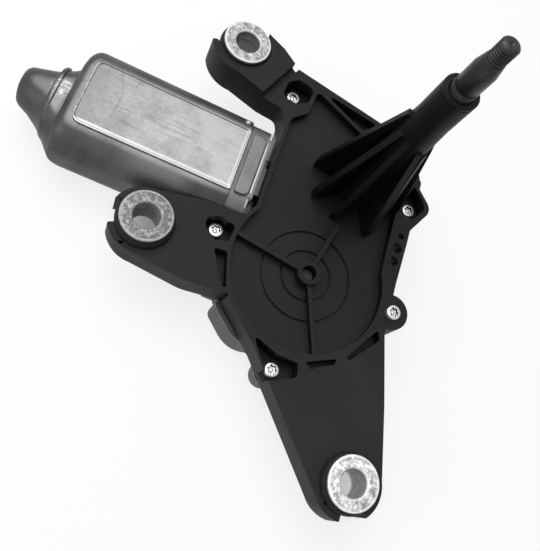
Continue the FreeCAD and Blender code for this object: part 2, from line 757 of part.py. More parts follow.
# Bearing blocks of the worm shaft, and the opening for the brushes in the neck.
block_bottom = case_bottom + s.case_floor_depth - 0.5
end_block_x = 11.0
end_block_length = 7.0
shaft_bush_radius = s.armature_shaft_radius + 2.0
pad_shape(rear, block_outline(end_block_x, end_block_length, 6.5), block_bottom,
          s.gear_level + 5.7 - block_bottom)
pad_shape(rear, block_outline(neck_block_x, neck_block_length, neck_block_half_width), block_bottom,
          neck_block_top - block_bottom)
neck_bore_x = s.neck_inner_x - s.rear_wall - 1.0
for start, length, radius in (
    (end_block_x, end_block_length, shaft_bush_radius),
    (neck_bore_x, neck_block_x + neck_block_length - neck_bore_x, shaft_bush_radius),
    (s.can_mouth_x, s.neck_inner_x - s.can_mouth_x - s.rear_wall, s.neck_half_width - 3.5),
):
    sketch = new_sketch(rear, "YZ_Plane", start)
    draw_circle(sketch, s.motor_y, s.gear_level, radius)
    cut(rear, sketch, length, True)
cut_can_room(rear, s.can_mouth_x)

# Gasket between the two housings.
gasket = new_body("housing_gasket")
ring = inward(case_outline, 0.6).cut([inward(case_outline, 2.0)])
ring = largest(ring.cut([block_outline(neck_block_x, neck_block_length, neck_block_half_width + 0.5)]))
pad_shape(gasket, ring, s.skirt_level - 0.1, s.gasket_depth - 0.2, True)

# Sleeves and grommets of the three ears.
for name, x, y, direction in EARS:
    turned_body("sleeve_" + name, (
        (s.sleeve_bore_radius + s.sleeve_bore_chamfer, 0.0),
        (s.sleeve_flange_radius - 0.5, 0.0),
        (s.sleeve_flange_radius, -0.5),
        (s.sleeve_flange_radius, -s.sleeve_flange_depth),
        (s.sleeve_outer_radius, -s.sleeve_flange_depth),
        (s.sleeve_outer_radius, -s.sleeve_length),
        (s.sleeve_bore_radius, -s.sleeve_length),
        (s.sleeve_bore_radius, -s.sleeve_bore_chamfer),
    ), x, y)
    under = s.deck_level - s.ear_plate_depth
    turned_body("grommet_" + name, (
        (s.sleeve_outer_radius, -s.sleeve_flange_depth),
        (s.sleeve_flange_radius - 0.6, -s.sleeve_flange_depth),
        (s.grommet_ring_radius - 0.8, -s.sleeve_flange_depth - 1.4),
        (s.grommet_ring_radius, s.deck_level + 1.0),
        (s.grommet_ring_radius - 0.4, s.deck_level),
        (s.grommet_waist_radius, s.deck_level),
        (s.grommet_waist_radius, under),
        (s.grommet_foot_radius, under),
        (s.grommet_foot_radius - 1.4, under - s.grommet_foot_depth),
        (s.sleeve_outer_radius, under - s.grommet_foot_depth),
    ), x, y)


# Gear outlines.
def gear_ring(teeth, module, backlash, first=0.0, count=None, flank_steps=3, tip=1.0):
    """Points round an involute gear, with pressure angle 20 degrees. A tooth stands
    on the +X axis before turning by first. With count, only that many teeth."""
    pitch = teeth * module / 2
    base = pitch * math.cos(math.radians(20))
    outer = pitch + tip * module
    root = pitch - 1.25 * module
    half_at_pitch = (math.pi * module / 2 - backlash) / 2 / pitch
    roll_at_pitch = math.sqrt((pitch / base) ** 2 - 1)
    involute_at_pitch = roll_at_pitch - math.atan(roll_at_pitch)

    def half_angle(radius):
        radius = max(radius, base)
        roll = math.sqrt((radius / base) ** 2 - 1)
        return half_at_pitch + involute_at_pitch - (roll - math.atan(roll))

    start_radius = max(root, base)
    radii = [start_radius + (outer - start_radius) * step / flank_steps for step in range(flank_steps + 1)]
    points = []
    for tooth in range(count if count else teeth):
        centre = math.radians(first) + 2 * math.pi * tooth / teeth
        rising = [(radius, centre - half_angle(radius)) for radius in radii]
        falling = [(radius, centre + half_angle(radius)) for radius in reversed(radii)]
        foot = [(root, centre - half_angle(start_radius))] if root < base else []
        heel = [(root, centre + half_angle(start_radius))] if root < base else []
        for radius, angle in foot + rising + falling + heel:
            points.append(Vector(radius * math.cos(angle), radius * math.sin(angle), 0))
    return points


# Worm wheel with helical teeth, web pockets and hub.
wheel_pitch_radius = s.motor_y - s.wheel_y - s.worm_pitch_radius
teeth = int(float(s.wheel_teeth))
wheel_module = float(wheel_pitch_radius) * 2 / teeth
lead_slope = wheel_module / 2 / float(s.worm_pitch_radius)
half_twist = math.degrees(float(s.wheel_width) / 2 * lead_slope / float(wheel_pitch_radius))
gap_turn = 90.0 + 180.0 / teeth
layers = []
for level, twist in ((-float(s.wheel_width) / 2, -half_twist), (float(s.wheel_width) / 2, half_twist)):
    ring_points = gear_ring(teeth, wheel_module, 0.1, gap_turn + twist, flank_steps=2, tip=0.9)
    ring_points.append(ring_points[0])
    outline = Part.makePolygon(ring_points)
    outline.translate(Vector(0, 0, level))
    layers.append(outline)
blank = Part.makeLoft(layers, True, True)
wheel_radius = float(wheel_pitch_radius) - 1.25 * wheel_module
web_cut = (float(s.wheel_width) - float(s.wheel_web_depth)) / 2
half_width = float(s.wheel_width) / 2
for side in (-half_width, half_width - web_cut):
    tube = Part.makeCylinder(wheel_radius - 3.2, web_cut, Vector(0, 0, side))
    hub = Part.makeCylinder(float(s.wheel_hub_radius), web_cut, Vector(0, 0, side))
    blank = blank.cut(tube.cut(hub))


# Linkage: dead centres of the crank, rod and tie link.
link_centre = float(s.link_module) * (float(s.pinion_teeth) + float(s.sector_teeth)) / 2
ground = math.hypot(float(wheel_x), float(wheel_y))
rod_length = math.sqrt(ground ** 2 - link_centre ** 2)
park_reach = rod_length - float(s.crank_radius)
wheel_to_spindle = math.atan2(-float(wheel_y), -float(wheel_x))
cosine = (ground ** 2 + park_reach ** 2 - link_centre ** 2) / (2 * ground * park_reach)
rod_way = wheel_to_spindle + math.acos(cosine)
pivot_x = float(wheel_x) + park_reach * math.cos(rod_way)
pivot_y = float(wheel_y) + park_reach * math.sin(rod_way)
crank_x = float(wheel_x) - float(s.crank_radius) * math.cos(rod_way)
crank_y = float(wheel_y) - float(s.crank_radius) * math.sin(rod_way)
link_way = math.degrees(math.atan2(pivot_y, pivot_x))

axle_hole = Part.makeCylinder(float(s.wheel_axle_radius + s.running_clearance), 20, Vector(0, 0, -10))
crank_boss = Part.makeCylinder(float(s.crank_pin_radius) + 2.4, float(s.wheel_width),
                               Vector(crank_x - float(wheel_x), crank_y - float(wheel_y), -half_width))
crank_hole = Part.makeCylinder(float(s.crank_pin_radius), float(s.wheel_width),
                               Vector(crank_x - float(wheel_x), crank_y - float(wheel_y), -half_width))
blank = blank.fuse(crank_boss).cut(axle_hole).cut(crank_hole)
wheel = pieces_label(blank, "worm_wheel")
wheel.Placement = Placement(Vector(float(wheel_x), float(wheel_y), float(s.gear_level)), Rotation())

wheel_under = s.gear_level - s.wheel_width / 2
wheel_top = s.gear_level + s.wheel_width / 2
turned_body("crank_pin", (
    (0.0, wheel_top), (s.crank_pin_radius, wheel_top),
    (s.crank_pin_radius, wheel_under - s.crank_pin_reach), (0.0, wheel_under - s.crank_pin_reach),
), crank_x, crank_y)
axle_top = s.hub_level - s.axle_sink
turned_body("wheel_axle", (
    (0.0, axle_top), (s.wheel_axle_radius - 0.5, axle_top), (s.wheel_axle_radius, axle_top - 0.5),
    (s.wheel_axle_radius, wheel_under - 0.8), (0.0, wheel_under - 0.8),
), wheel_x, wheel_y)
turned_body("wheel_clip", (
    (s.wheel_axle_radius, wheel_under - 0.25), (s.wheel_axle_radius + 2.0, wheel_under - 0.25),
    (s.wheel_axle_radius + 2.0, wheel_under - 0.75), (s.wheel_axle_radius, wheel_under - 0.75),
), wheel_x, wheel_y)
turned_body("wheel_washer", (
    (s.wheel_axle_radius + 0.2, floor_under - 0.1), (s.wheel_hub_radius, floor_under - 0.1),
    (s.wheel_hub_radius, wheel_top + 0.2), (s.wheel_axle_radius + 0.2, wheel_top + 0.2),
), wheel_x, wheel_y)

# Pinion on the spindle, toothed rod and tie link.
module = float(s.link_module)
pinion_points = gear_ring(int(float(s.pinion_teeth)), module, float(s.link_backlash), link_way)
pinion_face = Part.Face(Part.makePolygon(pinion_points + pinion_points[:1]))
rod_bottom = s.rod_top_level - s.rod_depth
pinion = new_body("pinion")
sketch = new_sketch(pinion, "XY_Plane", rod_bottom)
draw_edges(sketch, pinion_face)
draw_circle(sketch, 0.0, 0.0, s.spindle_radius)
pad(pinion, sketch, s.rod_depth)

sector_turn = link_way + 180.0 + 180.0 / float(s.sector_teeth)
tooth_step = 360.0 / float(s.sector_teeth)
sector_points = gear_ring(int(float(s.sector_teeth)), module, float(s.link_backlash),
                          sector_turn - 5 * tooth_step, 8)
sector_face = Part.Face(Part.makePolygon([Vector(0, 0, 0)] + sector_points + [Vector(0, 0, 0)]))
sector_face.translate(Vector(pivot_x, pivot_y, 0))
eye_radius = float(s.rod_width) / 2 + 1.5
rod_face = joined(
    sector_face,
    disc(pivot_x, pivot_y, float(s.rod_width) / 2 + 2.0),
    disc(crank_x, crank_y, eye_radius),
    slot_bar(crank_x, crank_y, math.degrees(rod_way), s.rod_width, rod_length),
)
rod = new_body("toothed_rod")
sketch = new_sketch(rod, "XY_Plane", rod_bottom)
draw_edges(sketch, rod_face)
draw_circle(sketch, pivot_x, pivot_y, s.pivot_pin_radius + s.running_clearance)
draw_circle(sketch, crank_x, crank_y, s.crank_pin_radius + s.running_clearance)
pad(rod, sketch, s.rod_depth)

link_top = rod_bottom - s.link_gap
link_face = joined(
    disc(0, 0, s.link_width / 2 + 2.6),
    disc(pivot_x, pivot_y, s.link_width / 2),
    slot_bar(0, 0, link_way, s.link_width, link_centre),
)
link = new_body("tie_link")
sketch = new_sketch(link, "XY_Plane", link_top - s.link_depth)
draw_edges(sketch, link_face)
draw_circle(sketch, 0.0, 0.0, s.spindle_radius + s.running_clearance)
draw_circle(sketch, pivot_x, pivot_y, s.pivot_pin_radius)
pad(link, sketch, s.link_depth)
turned_body("pivot_pin", (
    (0.0, s.rod_top_level + 0.2), (s.pivot_pin_radius, s.rod_top_level + 0.2),
    (s.pivot_pin_radius, link_top - s.link_depth), (s.pivot_head_radius, link_top - s.link_depth),
    (s.pivot_head_radius, link_top - s.link_depth - s.pivot_head_depth),
    (0.0, link_top - s.link_depth - s.pivot_head_depth),
), pivot_x, pivot_y)

# Spindle, its bushes, seal and circlip.
turned_body("spindle", (
    (0.0, s.spindle_bottom_level),
    (s.spindle_radius - 0.4, s.spindle_bottom_level),
    (s.spindle_radius, s.spindle_bottom_level + 0.4),
    (s.spindle_radius, s.spindle_cone_level),
    (s.spindle_thread_radius + 0.2, s.spindle_thread_level),
    (s.spindle_thread_radius, s.spindle_thread_level),
    (s.spindle_thread_radius, s.spindle_tip_level - s.spindle_tip_chamfer),
    (s.spindle_thread_radius - s.spindle_tip_chamfer, s.spindle_tip_level),
    (0.0, s.spindle_tip_level),
))
for label, bottom, top in (
    ("upper_spindle_bush", s.upper_bush_level, seal_level),
    ("lower_spindle_bush", floor_under, floor_under + s.bush_length),
):
    turned_body(label, (
        (s.spindle_radius + s.running_clearance, bottom), (bush_radius, bottom),
        (bush_radius, top), (s.spindle_radius + s.running_clearance, top),
    ))
turned_body("spindle_seal", (
    (s.spindle_radius + s.running_clearance, seal_level + 0.1),
    (s.spindle_radius + 1.5, seal_level + 0.1),
    (s.spindle_radius + 1.5, s.tube_top_level - 0.3),
    (s.spindle_radius + 0.4, s.tube_top_level - 0.3),
    (s.spindle_radius + s.running_clearance, s.tube_top_level - 1.0),
))
turned_body("thrust_washer", (
    (s.spindle_radius + 0.3, floor_under - 0.2), (s.circlip_radius + 1.4, floor_under - 0.2),
    (s.circlip_radius + 1.4, floor_under - 1.2), (s.spindle_radius + 0.3, floor_under - 1.2),
))
link_bottom = link_top - s.link_depth
turned_body("spindle_circlip", (
    (s.spindle_radius, link_bottom - s.clip_gap), (s.circlip_radius, link_bottom - s.clip_gap),
    (s.circlip_radius, link_bottom - s.clip_gap - s.circlip_depth),
    (s.spindle_radius, link_bottom - s.clip_gap - s.circlip_depth),
))
turned_body("pinion_spacer", (
    (s.spindle_radius, floor_under - 1.5), (s.circlip_radius, floor_under - 1.5),
    (s.circlip_radius, s.rod_top_level), (s.spindle_radius, s.rod_top_level),
))

# Motor can: a pressed steel shell with flat faces, a rounded end and a bearing nose.
motor_y = s.motor_y
gear_level = s.gear_level


can = new_body("motor_can")
sketch = new_sketch(can, "YZ_Plane", s.can_end_x)
draw_edges(sketch, can_section(s.can_half_width, s.can_half_height, s.can_corner_radius))
shell = pad(can, sketch, s.can_mouth_x - s.can_end_x)
round_edges(can, shell, [edge.BoundBox.XMax < float(s.can_end_x) + 1e-3 for edge in built_edges(shell)],
            s.can_end_radius)
sketch = new_sketch(can, "XY_Plane", gear_level)
nose_start = s.can_end_x + 2.0
nose_corners = (
    (nose_start, 0.0), (nose_start, s.nose_radius), (s.can_end_x - 2.5, s.nose_radius),
    (s.can_end_x - 3.2, s.nose_collar_radius), (s.can_end_x - 6.0, s.nose_collar_radius),
    (s.can_end_x - 6.7, s.nose_radius), (s.nose_end_x + 7.0, s.nose_radius - 0.6),
    (s.nose_end_x + 2.0, s.nose_tip_radius + 1.6), (s.nose_end_x, s.nose_tip_radius),
    (s.nose_end_x, 0.0),
)
draw_profile(sketch, [(x, motor_y + as_size(r)) for x, r in nose_corners])
sketch.addGeometry(Part.LineSegment(
    Vector(float(s.nose_end_x), float(motor_y), 0), Vector(float(s.can_mouth_x), float(motor_y), 0)), True)
feature(can, "Revolution", sketch, ReferenceAxis=(sketch, ["Axis0"]), Angle=360.0)
inner_width = s.can_half_width - s.can_wall
inner_height = s.can_half_height - s.can_wall
sketch = new_sketch(can, "YZ_Plane", s.can_mouth_x)
draw_edges(sketch, can_section(inner_width, inner_height, s.can_corner_radius - s.can_wall))
cut(can, sketch, s.can_mouth_x - s.can_end_x - s.can_end_radius)
sketch = new_sketch(can, "YZ_Plane", s.can_mouth_x)
draw_circle(sketch, motor_y, gear_level, s.nose_bore_radius)
cut(can, sketch, s.can_mouth_x - s.nose_end_x - 8.0)
pad_sketch = new_sketch(can, "XY_Plane", gear_level + s.can_half_height - 0.4)
draw_edges(pad_sketch, rounded((
    (s.can_end_x + s.pad_margin, motor_y - s.pad_half_width, s.pad_corner_radius),
    (s.can_mouth_x - s.pad_margin, motor_y - s.pad_half_width, s.pad_corner_radius),
    (s.can_mouth_x - s.pad_margin, motor_y + s.pad_half_width, s.pad_corner_radius),
    (s.can_end_x + s.pad_margin, motor_y + s.pad_half_width, s.pad_corner_radius),
)))
pad(can, pad_sketch, s.pad_rise + 0.4)

# Magnets: two curved shells that line the can's flat sides.
armature_mid_x = (s.can_mouth_x + s.can_end_x) / 2 - 8.0
magnet_inner = s.lamination_radius + s.air_gap
for label, way in (("magnet_left", -1), ("magnet_right", 1)):
    magnet = new_body(label)
    sketch = new_sketch(magnet, "YZ_Plane", armature_mid_x - s.lamination_length / 2 - 2.0)
    shell = disc(motor_y, gear_level, magnet_inner + s.magnet_depth)
    shell = shell.cut([disc(motor_y, gear_level, magnet_inner)])
    half = rounded((
        (motor_y + way * 3.0, -60, 0), (motor_y + way * 40.0, -60, 0),
        (motor_y + way * 40.0, 20, 0), (motor_y + way * 3.0, 20, 0),
    ))
    shell = shell.common(half).common(can_section(inner_width, inner_height, 12.0))
    draw_edges(sketch, largest(shell))
    pad(magnet, sketch, s.lamination_length + 4.0)

# Armature: shaft with the worm, laminations, windings and commutator.
shaft_start_x = s.nose_end_x + 10.0
shaft_end_x = end_block_x + 5.0
shaft_radius = float(s.armature_shaft_radius)
worm_root = float(s.worm_pitch_radius) - 1.2 * wheel_module
lead = 2 * math.pi * float(wheel_pitch_radius) / teeth
turns = round(float(s.worm_length) / lead)
helix = Part.makeHelix(lead, turns * lead, float(s.worm_pitch_radius))
ridge_mid = (lead / 2 - float(s.worm_backlash)) / 2
slope = math.tan(math.radians(20)) * wheel_module
ridge_top = float(s.worm_pitch_radius) + 0.9 * wheel_module
ridge = Part.makePolygon([
    Vector(worm_root - 0.3, 0, -ridge_mid - 1.2 * slope), Vector(ridge_top, 0, -ridge_mid + 0.9 * slope),
    Vector(ridge_top, 0, ridge_mid - 0.9 * slope), Vector(worm_root - 0.3, 0, ridge_mid + 1.2 * slope),
    Vector(worm_root - 0.3, 0, -ridge_mid - 1.2 * slope),
])
thread = Part.Wire(helix.Edges).makePipeShell([ridge], True, True)
worm_start = -turns // 2 * lead
thread.translate(Vector(0, 0, worm_start))
core_length = turns * lead + 6
core = Part.makeCylinder(worm_root, core_length, Vector(0, 0, worm_start - 3))
worm = core.fuse(thread)
# The worm's own Z becomes X, and a ridge stands over the wheel's tooth gap.
worm.rotate(Vector(0, 0, 0), Vector(0, 0, 1), 180.0)
worm.rotate(Vector(0, 0, 0), Vector(0, 1, 0), 90.0)
worm.rotate(Vector(0, 0, 0), Vector(1, 0, 0), 90.0)
worm.translate(Vector(float(wheel_x), float(motor_y), float(gear_level)))
along = Vector(1, 0, 0)
shaft_left = Part.makeCylinder(shaft_radius, float(wheel_x) + worm_start - 3 - float(shaft_start_x),
                               Vector(float(shaft_start_x), float(motor_y), float(gear_level)), along)
right_start = float(wheel_x) + worm_start - 3 + core_length
shaft_right = Part.makeCylinder(shaft_radius, float(shaft_end_x) - right_start,
                                Vector(right_start, float(motor_y), float(gear_level)), along)
pieces_label(worm.fuse([shaft_left, shaft_right]).removeSplitter(), "armature_shaft")

stack = new_body("lamination_stack")
sketch = new_sketch(stack, "YZ_Plane", armature_mid_x - s.lamination_length / 2)
section = disc(motor_y, gear_level, s.lamination_radius)
slots = []
for number in range(int(float(s.lamination_slots))):
    angle = 360.0 / float(s.lamination_slots) * number
    slots.append(slot_bar(
        motor_y + 7.0 * math.cos(math.radians(angle)), gear_level + 7.0 * math.sin(math.radians(angle)),
        angle, 2.4, 12.0))
section = largest(section.cut(slots).cut([disc(motor_y, gear_level, s.armature_shaft_radius)]))
draw_edges(sketch, section)
pad(stack, sketch, s.lamination_length)

for label, start, way in (
    ("winding_front", armature_mid_x + s.lamination_length / 2, 1),
    ("winding_rear", armature_mid_x - s.lamination_length / 2, -1),
):
    turned_body(label, (
        (s.armature_shaft_radius + 1.0, 0.0), (s.winding_radius - 1.0, 0.0),
        (s.winding_radius, way * 2.0), (s.winding_radius - 1.6, way * (s.winding_overhang - 1.6)),
        (s.winding_radius - 4.0, way * s.winding_overhang),
        (s.armature_shaft_radius + 1.0, way * s.winding_overhang),
    ), start, motor_y, gear_level, True)
commutator_x = armature_mid_x + s.lamination_length / 2 + s.winding_overhang + 1.0
turned_body("commutator", (
    (s.armature_shaft_radius, 0.0), (s.commutator_radius + 1.6, 0.0), (s.commutator_radius + 1.6, 2.0),
    (s.commutator_radius, 2.2), (s.commutator_radius, s.commutator_length),
    (s.armature_shaft_radius, s.commutator_length),
), commutator_x, motor_y, gear_level, True)

# Shaft bearings.
for label, x, length, outer in (
    ("nose_bearing", shaft_start_x + 1.0, 8.0, s.nose_bore_radius),
    ("neck_bearing", neck_block_x, neck_block_length, shaft_bush_radius),
    ("end_bearing", end_block_x, end_block_length, shaft_bush_radius),
):
    turned_body(label, (
        (s.armature_shaft_radius + s.running_clearance, 0.0), (outer, 0.0),
        (outer, length), (s.armature_shaft_radius + s.running_clearance, length),
    ), x, motor_y, gear_level, True)

# Brush card with its two brushes and springs.
brush_x = commutator_x + s.commutator_length - s.brush_width - 0.6
card_x = brush_x + s.brush_width
card = new_body("brush_card")
sketch = new_sketch(card, "YZ_Plane", card_x)
card_face = can_section(inner_width - 0.4, inner_height - 0.4, 12.8)
draw_edges(sketch, card_face.cut([disc(motor_y, gear_level, s.commutator_radius + 1.2)]))
pad(card, sketch, s.brush_card_depth)
brush_level = gear_level - s.brush_height / 2
for label, way in (("brush_left", -1), ("brush_right", 1)):
    near = motor_y + way * (s.commutator_radius + 0.1)
    far = motor_y + way * (s.commutator_radius + 0.1 + s.brush_length)
    brush = new_body(label)
    sketch = new_sketch(brush, "XY_Plane", brush_level)
    draw_profile(sketch, (
        (brush_x, near), (brush_x + s.brush_width, near),
        (brush_x + s.brush_width, far), (brush_x, far),
    ))
    pad(brush, sketch, s.brush_height)
    spring = new_body(label.replace("brush", "brush_spring"))
    sketch = new_sketch(spring, "XY_Plane", gear_level - 1.2)
    tail = motor_y + way * (s.commutator_radius + s.brush_length + 4.6)
    draw_profile(sketch, (
        (brush_x + 0.6, far), (brush_x + 3.6, far), (brush_x + 3.6, tail), (brush_x + 0.6, tail),
    ))
    pad(spring, sketch, 2.4)

# Fasteners: five housing screws and two motor screws, each a group.


def screw(x, y, head_level, length):
    """A pan-head screw with a round drive recess, pointing down."""
    head = Part.makeCone(float(s.screw_head_radius), float(s.screw_head_radius) - 0.5,
                         float(s.screw_head_depth), Vector(x, y, head_level))
    shank = Part.makeCylinder(float(s.screw_shank_radius), length, Vector(x, y, head_level - length))
    top = head_level + float(s.screw_head_depth)
    drive = Part.makeCylinder(float(s.screw_drive_radius), float(s.screw_drive_depth),
                              Vector(x, y, top - float(s.screw_drive_depth)))
    return head.fuse(shank).cut(drive)


screws = []
for index, (x, y) in enumerate(HOUSING_SCREWS):
    head_level = float(s.deck_level if index == HIGH_SCREW else s.pocket_level)
    tip_level = float(gasket_level - s.screw_grip)
    screws.append(screw(x, y, head_level, head_level - tip_level))
pieces_label(Part.makeCompound(screws), "housing_screws")

# Connector socket on the rear housing, behind the left arm, and its blades.
socket = new_body("connector_socket")
sketch = new_sketch(socket, "YZ_Plane", s.socket_x - s.socket_length)
draw_edges(sketch, socket_section(0.0, 2.0))
pad(socket, sketch, s.socket_length)
sketch = new_sketch(socket, "YZ_Plane", s.socket_x - s.socket_length)
draw_edges(sketch, socket_section(-s.socket_wall, 1.0))
cut(socket, sketch, s.socket_depth, True)
blades = []
blade_start = s.socket_x - s.socket_length + s.socket_depth - s.blade_length
for place in (-1, 0, 1):
    corner = Vector(float(blade_start), float(s.socket_y + place * s.blade_pitch - s.blade_thickness / 2),
                    float(socket_level - s.blade_width / 2))
    blades.append(Part.makeBox(float(s.blade_length), float(s.blade_thickness), float(s.blade_width),
                               corner))
pieces_label(Part.makeCompound(blades), "connector_blades")

doc.recompute()
for item in cuts:
    if item.Shape.Volume >= item.BaseFeature.Shape.Volume - 1e-6:
        raise ValueError("%s takes nothing away" % item.Label)
node_kinds = ("PartDesign::Body", "Part::Feature", "Part::Cut")
nodes = [item for item in doc.Objects if item.TypeId in node_kinds and item not in steps]
for item in doc.Objects:
    if "Invalid" in item.State or "Error" in item.State:
        raise ValueError("%s is in state %s" % (item.Label, item.State))
for item in nodes:
    if item.Shape.isNull() or not item.Shape.isValid():
        raise ValueError("%s has no valid shape" % item.Label)
for item in nodes:
    item.Shape.exportStep("parts/%s.step" % item.Label)
print("%d sub-parts written" % len(nodes))
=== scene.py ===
"""Looks of a rear wiper motor: a finish for every piece of its frame, and new pieces where the
frame is plain. These are the can's flared nose and rubbed pad, the ears' sleeves, grommets,
linings and arm ends, the threaded spindle and the star-drive screws.

Lengths are in millimetres until a mesh or a material is written, and then in metres."""
import json
import math

import bmesh
import bpy
import numpy as np
from mathutils import Matrix, Vector


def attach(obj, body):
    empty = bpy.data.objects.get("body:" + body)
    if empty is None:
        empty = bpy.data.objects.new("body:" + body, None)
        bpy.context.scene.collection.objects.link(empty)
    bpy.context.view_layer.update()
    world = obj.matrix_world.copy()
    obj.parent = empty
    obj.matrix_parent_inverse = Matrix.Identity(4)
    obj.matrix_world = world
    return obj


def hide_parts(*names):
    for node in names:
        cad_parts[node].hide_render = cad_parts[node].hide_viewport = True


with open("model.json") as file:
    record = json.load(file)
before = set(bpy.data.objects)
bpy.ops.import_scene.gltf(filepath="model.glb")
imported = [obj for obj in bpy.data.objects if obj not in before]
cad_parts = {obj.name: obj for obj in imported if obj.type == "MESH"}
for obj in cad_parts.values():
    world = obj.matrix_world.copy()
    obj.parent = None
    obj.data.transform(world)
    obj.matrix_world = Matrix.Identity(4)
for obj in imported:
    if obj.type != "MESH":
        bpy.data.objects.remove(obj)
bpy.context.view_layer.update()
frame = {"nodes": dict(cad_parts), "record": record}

MM = 0.001

# Places shared with the frame, which stands on the spindle's axis.
DECK_LEVEL = -6.0
POCKET_LEVEL = -15.0
CASE_BOTTOM_LEVEL = -39.7
GEAR_LEVEL = -20.5
MOTOR_Y = -17.5
SPINDLE_LEVELS = {"bottom": -35.0, "cone": 95.7, "thread": 101.7, "tip": 110.5}
EARS = {"top": (-79.3, 44.8), "left": (-91.4, -63.4), "bottom": (31.1, -140.0)}
HOUSING_SCREWS = ((-46.8, 35.2), (-60.2, -51.4), (-14.7, -103.8), (31.8, -58.5), (30.3, 2.2))
HIGH_SCREW = 3
SCREW_SIZE = 0.98

# The can: its levels along the shaft, the section of its straight part, and its nose from the
# tip on, as x, the reach to the far side, the reach to the near side and the half height.
CAN_TOP = -2.5
CAN_END_X = -144.0
CAN_MOUTH_X = -61.5
CAN_HALF_WIDTH = 29.0
CAN_HALF_HEIGHT = 18.0
CAN_CORNER = 15.0
CAN_END_RADIUS = 6.0
CAN_WALL = 1.8
CAN_BORE = 9.0
NOSE_ROWS = (
    (-167.0, 5.5, 7.5, 6.4), (-166.4, 7.3, 9.2, 8.1), (-164.8, 8.7, 10.6, 9.4),
    (-160.0, 9.9, 13.0, 10.8), (-155.0, 11.2, 16.6, 12.2), (-152.2, 12.3, 19.0, 12.9),
    (-151.6, 14.6, 20.2, 14.2), (-150.8, 15.4, 21.0, 14.6), (-149.8, 15.4, 21.8, 14.6),
    (-149.2, 14.2, 22.2, 13.9), (-146.5, 15.8, 25.4, 14.0), (-144.4, 17.8, 27.8, 14.2),
)

# The rubbed pad on the can, with a thin raised bead round it, and the field on the motor's
# neck: middle, half sides, corner radii, and rows of inset and rise over the ground.
PAD_MIDDLE = (-100.15, MOTOR_Y)
PAD_HALF = (38.45, 17.2)
PAD_CORNERS = (1.2, 4.0, 5.0, 1.2)
PAD_ROWS = (
    (0.0, -0.6), (0.0, 0.6), (0.2, 0.85), (0.45, 0.9), (0.8, 0.85), (1.1, 0.6), (1.4, 0.5), (1.7, 0.5),
)
NECK_TOP = -2.7
NECK_MIDDLE = (-56.3, -17.6)
NECK_HALF = (3.4, 16.4)
NECK_CORNERS = (3.2, 1.2, 1.2, 3.2)
NECK_ROWS = ((0.0, -0.6), (0.0, 0.3), (0.25, 0.55), (0.6, 0.6), (0.9, 0.6))

# The thin edge of the motor's flange, and the dimple of a crimp on the can's far shoulder.
FLANGE_FACE_X = -51.6
FLANGE_BACK_X = -52.7
STUD_PLACE = (-64.4, 4.6, -5.4)
STUD_RADIUS = 1.5

THREAD_CREST = 4.05
THREAD_DEPTH = 0.72
THREAD_PITCH = 1.25

# Pitch and depth of the grooves in each sleeve's bore, and the tone of its face: the same steel in every
# ear, made paler or darker as painted light for how the light falls on each.
SLEEVE_GROOVES = {"top": (5.0, 0.2), "left": (2.6, 0.6), "bottom": (7.5, 0.5)}
SLEEVE_PAINTED_LIGHT = {"top": 0.96, "left": 0.54, "bottom": 1.6}
SLEEVE_SHADES = {"pit": 0.12, "dark": 0.17, "light": 0.6, "bore": 0.2, "ring": 0.75}

# Profiles round the ears, as radius from the sleeve's axis and level.
GROMMET_PROFILE = (
    (7.7, -2.05), (11.4, -2.05), (11.9, -2.3), (12.1, -3.1), (12.6, -3.2), (13.0, -3.9), (13.4, -4.6),
    (13.45, -5.3), (13.2, -5.9), (10.6, -6.0), (10.6, -10.0), (13.1, -10.05), (13.0, -11.0),
    (12.5, -11.3), (12.6, -12.0), (12.0, -13.4), (11.6, -13.6), (7.7, -13.6),
)
ARM_PROFILE = (
    (10.9, -6.2), (11.1, -6.0), (15.7, -6.0), (16.2, -6.5), (16.2, -19.3), (15.9, -19.6),
    (13.8, -19.6), (13.6, -19.3), (13.6, -10.2), (13.4, -10.0), (10.9, -10.0),
)
LINING_PROFILE = ((12.75, -2.5), (13.0, -2.2), (15.1, -2.05), (15.1, -5.9), (12.75, -5.9))

# What is cut from the front housing at the top ear: a wedge that shortens its left arm, from
# one angle to another, and what lies beyond a straight line close to the sleeve.
CUT_LEVELS = (3.0, -30.0)
ARM_CUT_RADII = (10.3, 26.0)
ARM_CUT_ANGLES = (140.0, 200.0)
EAR_CORNER_CUT = (
    (-76.4, 59.4), (-69.3, 56.3), (-60.7, 52.5), (-51.0, 45.5), (-46.0, 56.0), (-70.0, 76.0), (-81.0, 68.0),
)

# Round marks that the mould's ejector pins leave on the deck, as (x, y, radius).
EJECTOR_MARKS = ((2.4, -122.1, 4.4), (31.7, -109.5, 3.6), (-69.2, -72.7, 3.8), (4.0, 16.0, 4.0))

# Where the ground shows through each ear's bore, as (x, y, depth of its shade).
FLOOR_SHADE = ((-91.9, -50.4, 0.95), (44.8, -135.8, 0.55), (-78.4, 70.4, 0.9))
FLOOR_HALF = 1500.0
FLOOR_GAP = 0.05
FLOOR_GLOW = 0.8
WORLD_LIGHT = 0.3
WHITE = (1.0, 1.0, 1.0, 1.0)

# How finely meshes are drawn, and the fold past which an edge is sharp.
RING_STEPS = 128
SECTOR_STEPS = 40
CORNER_STEPS = 12
SHARP_FOLD = math.radians(38.0)


def grey(level, blue=0.0):
    """A grey whose blue channel is a little more or less than the other two."""
    return (level, level, level + blue)


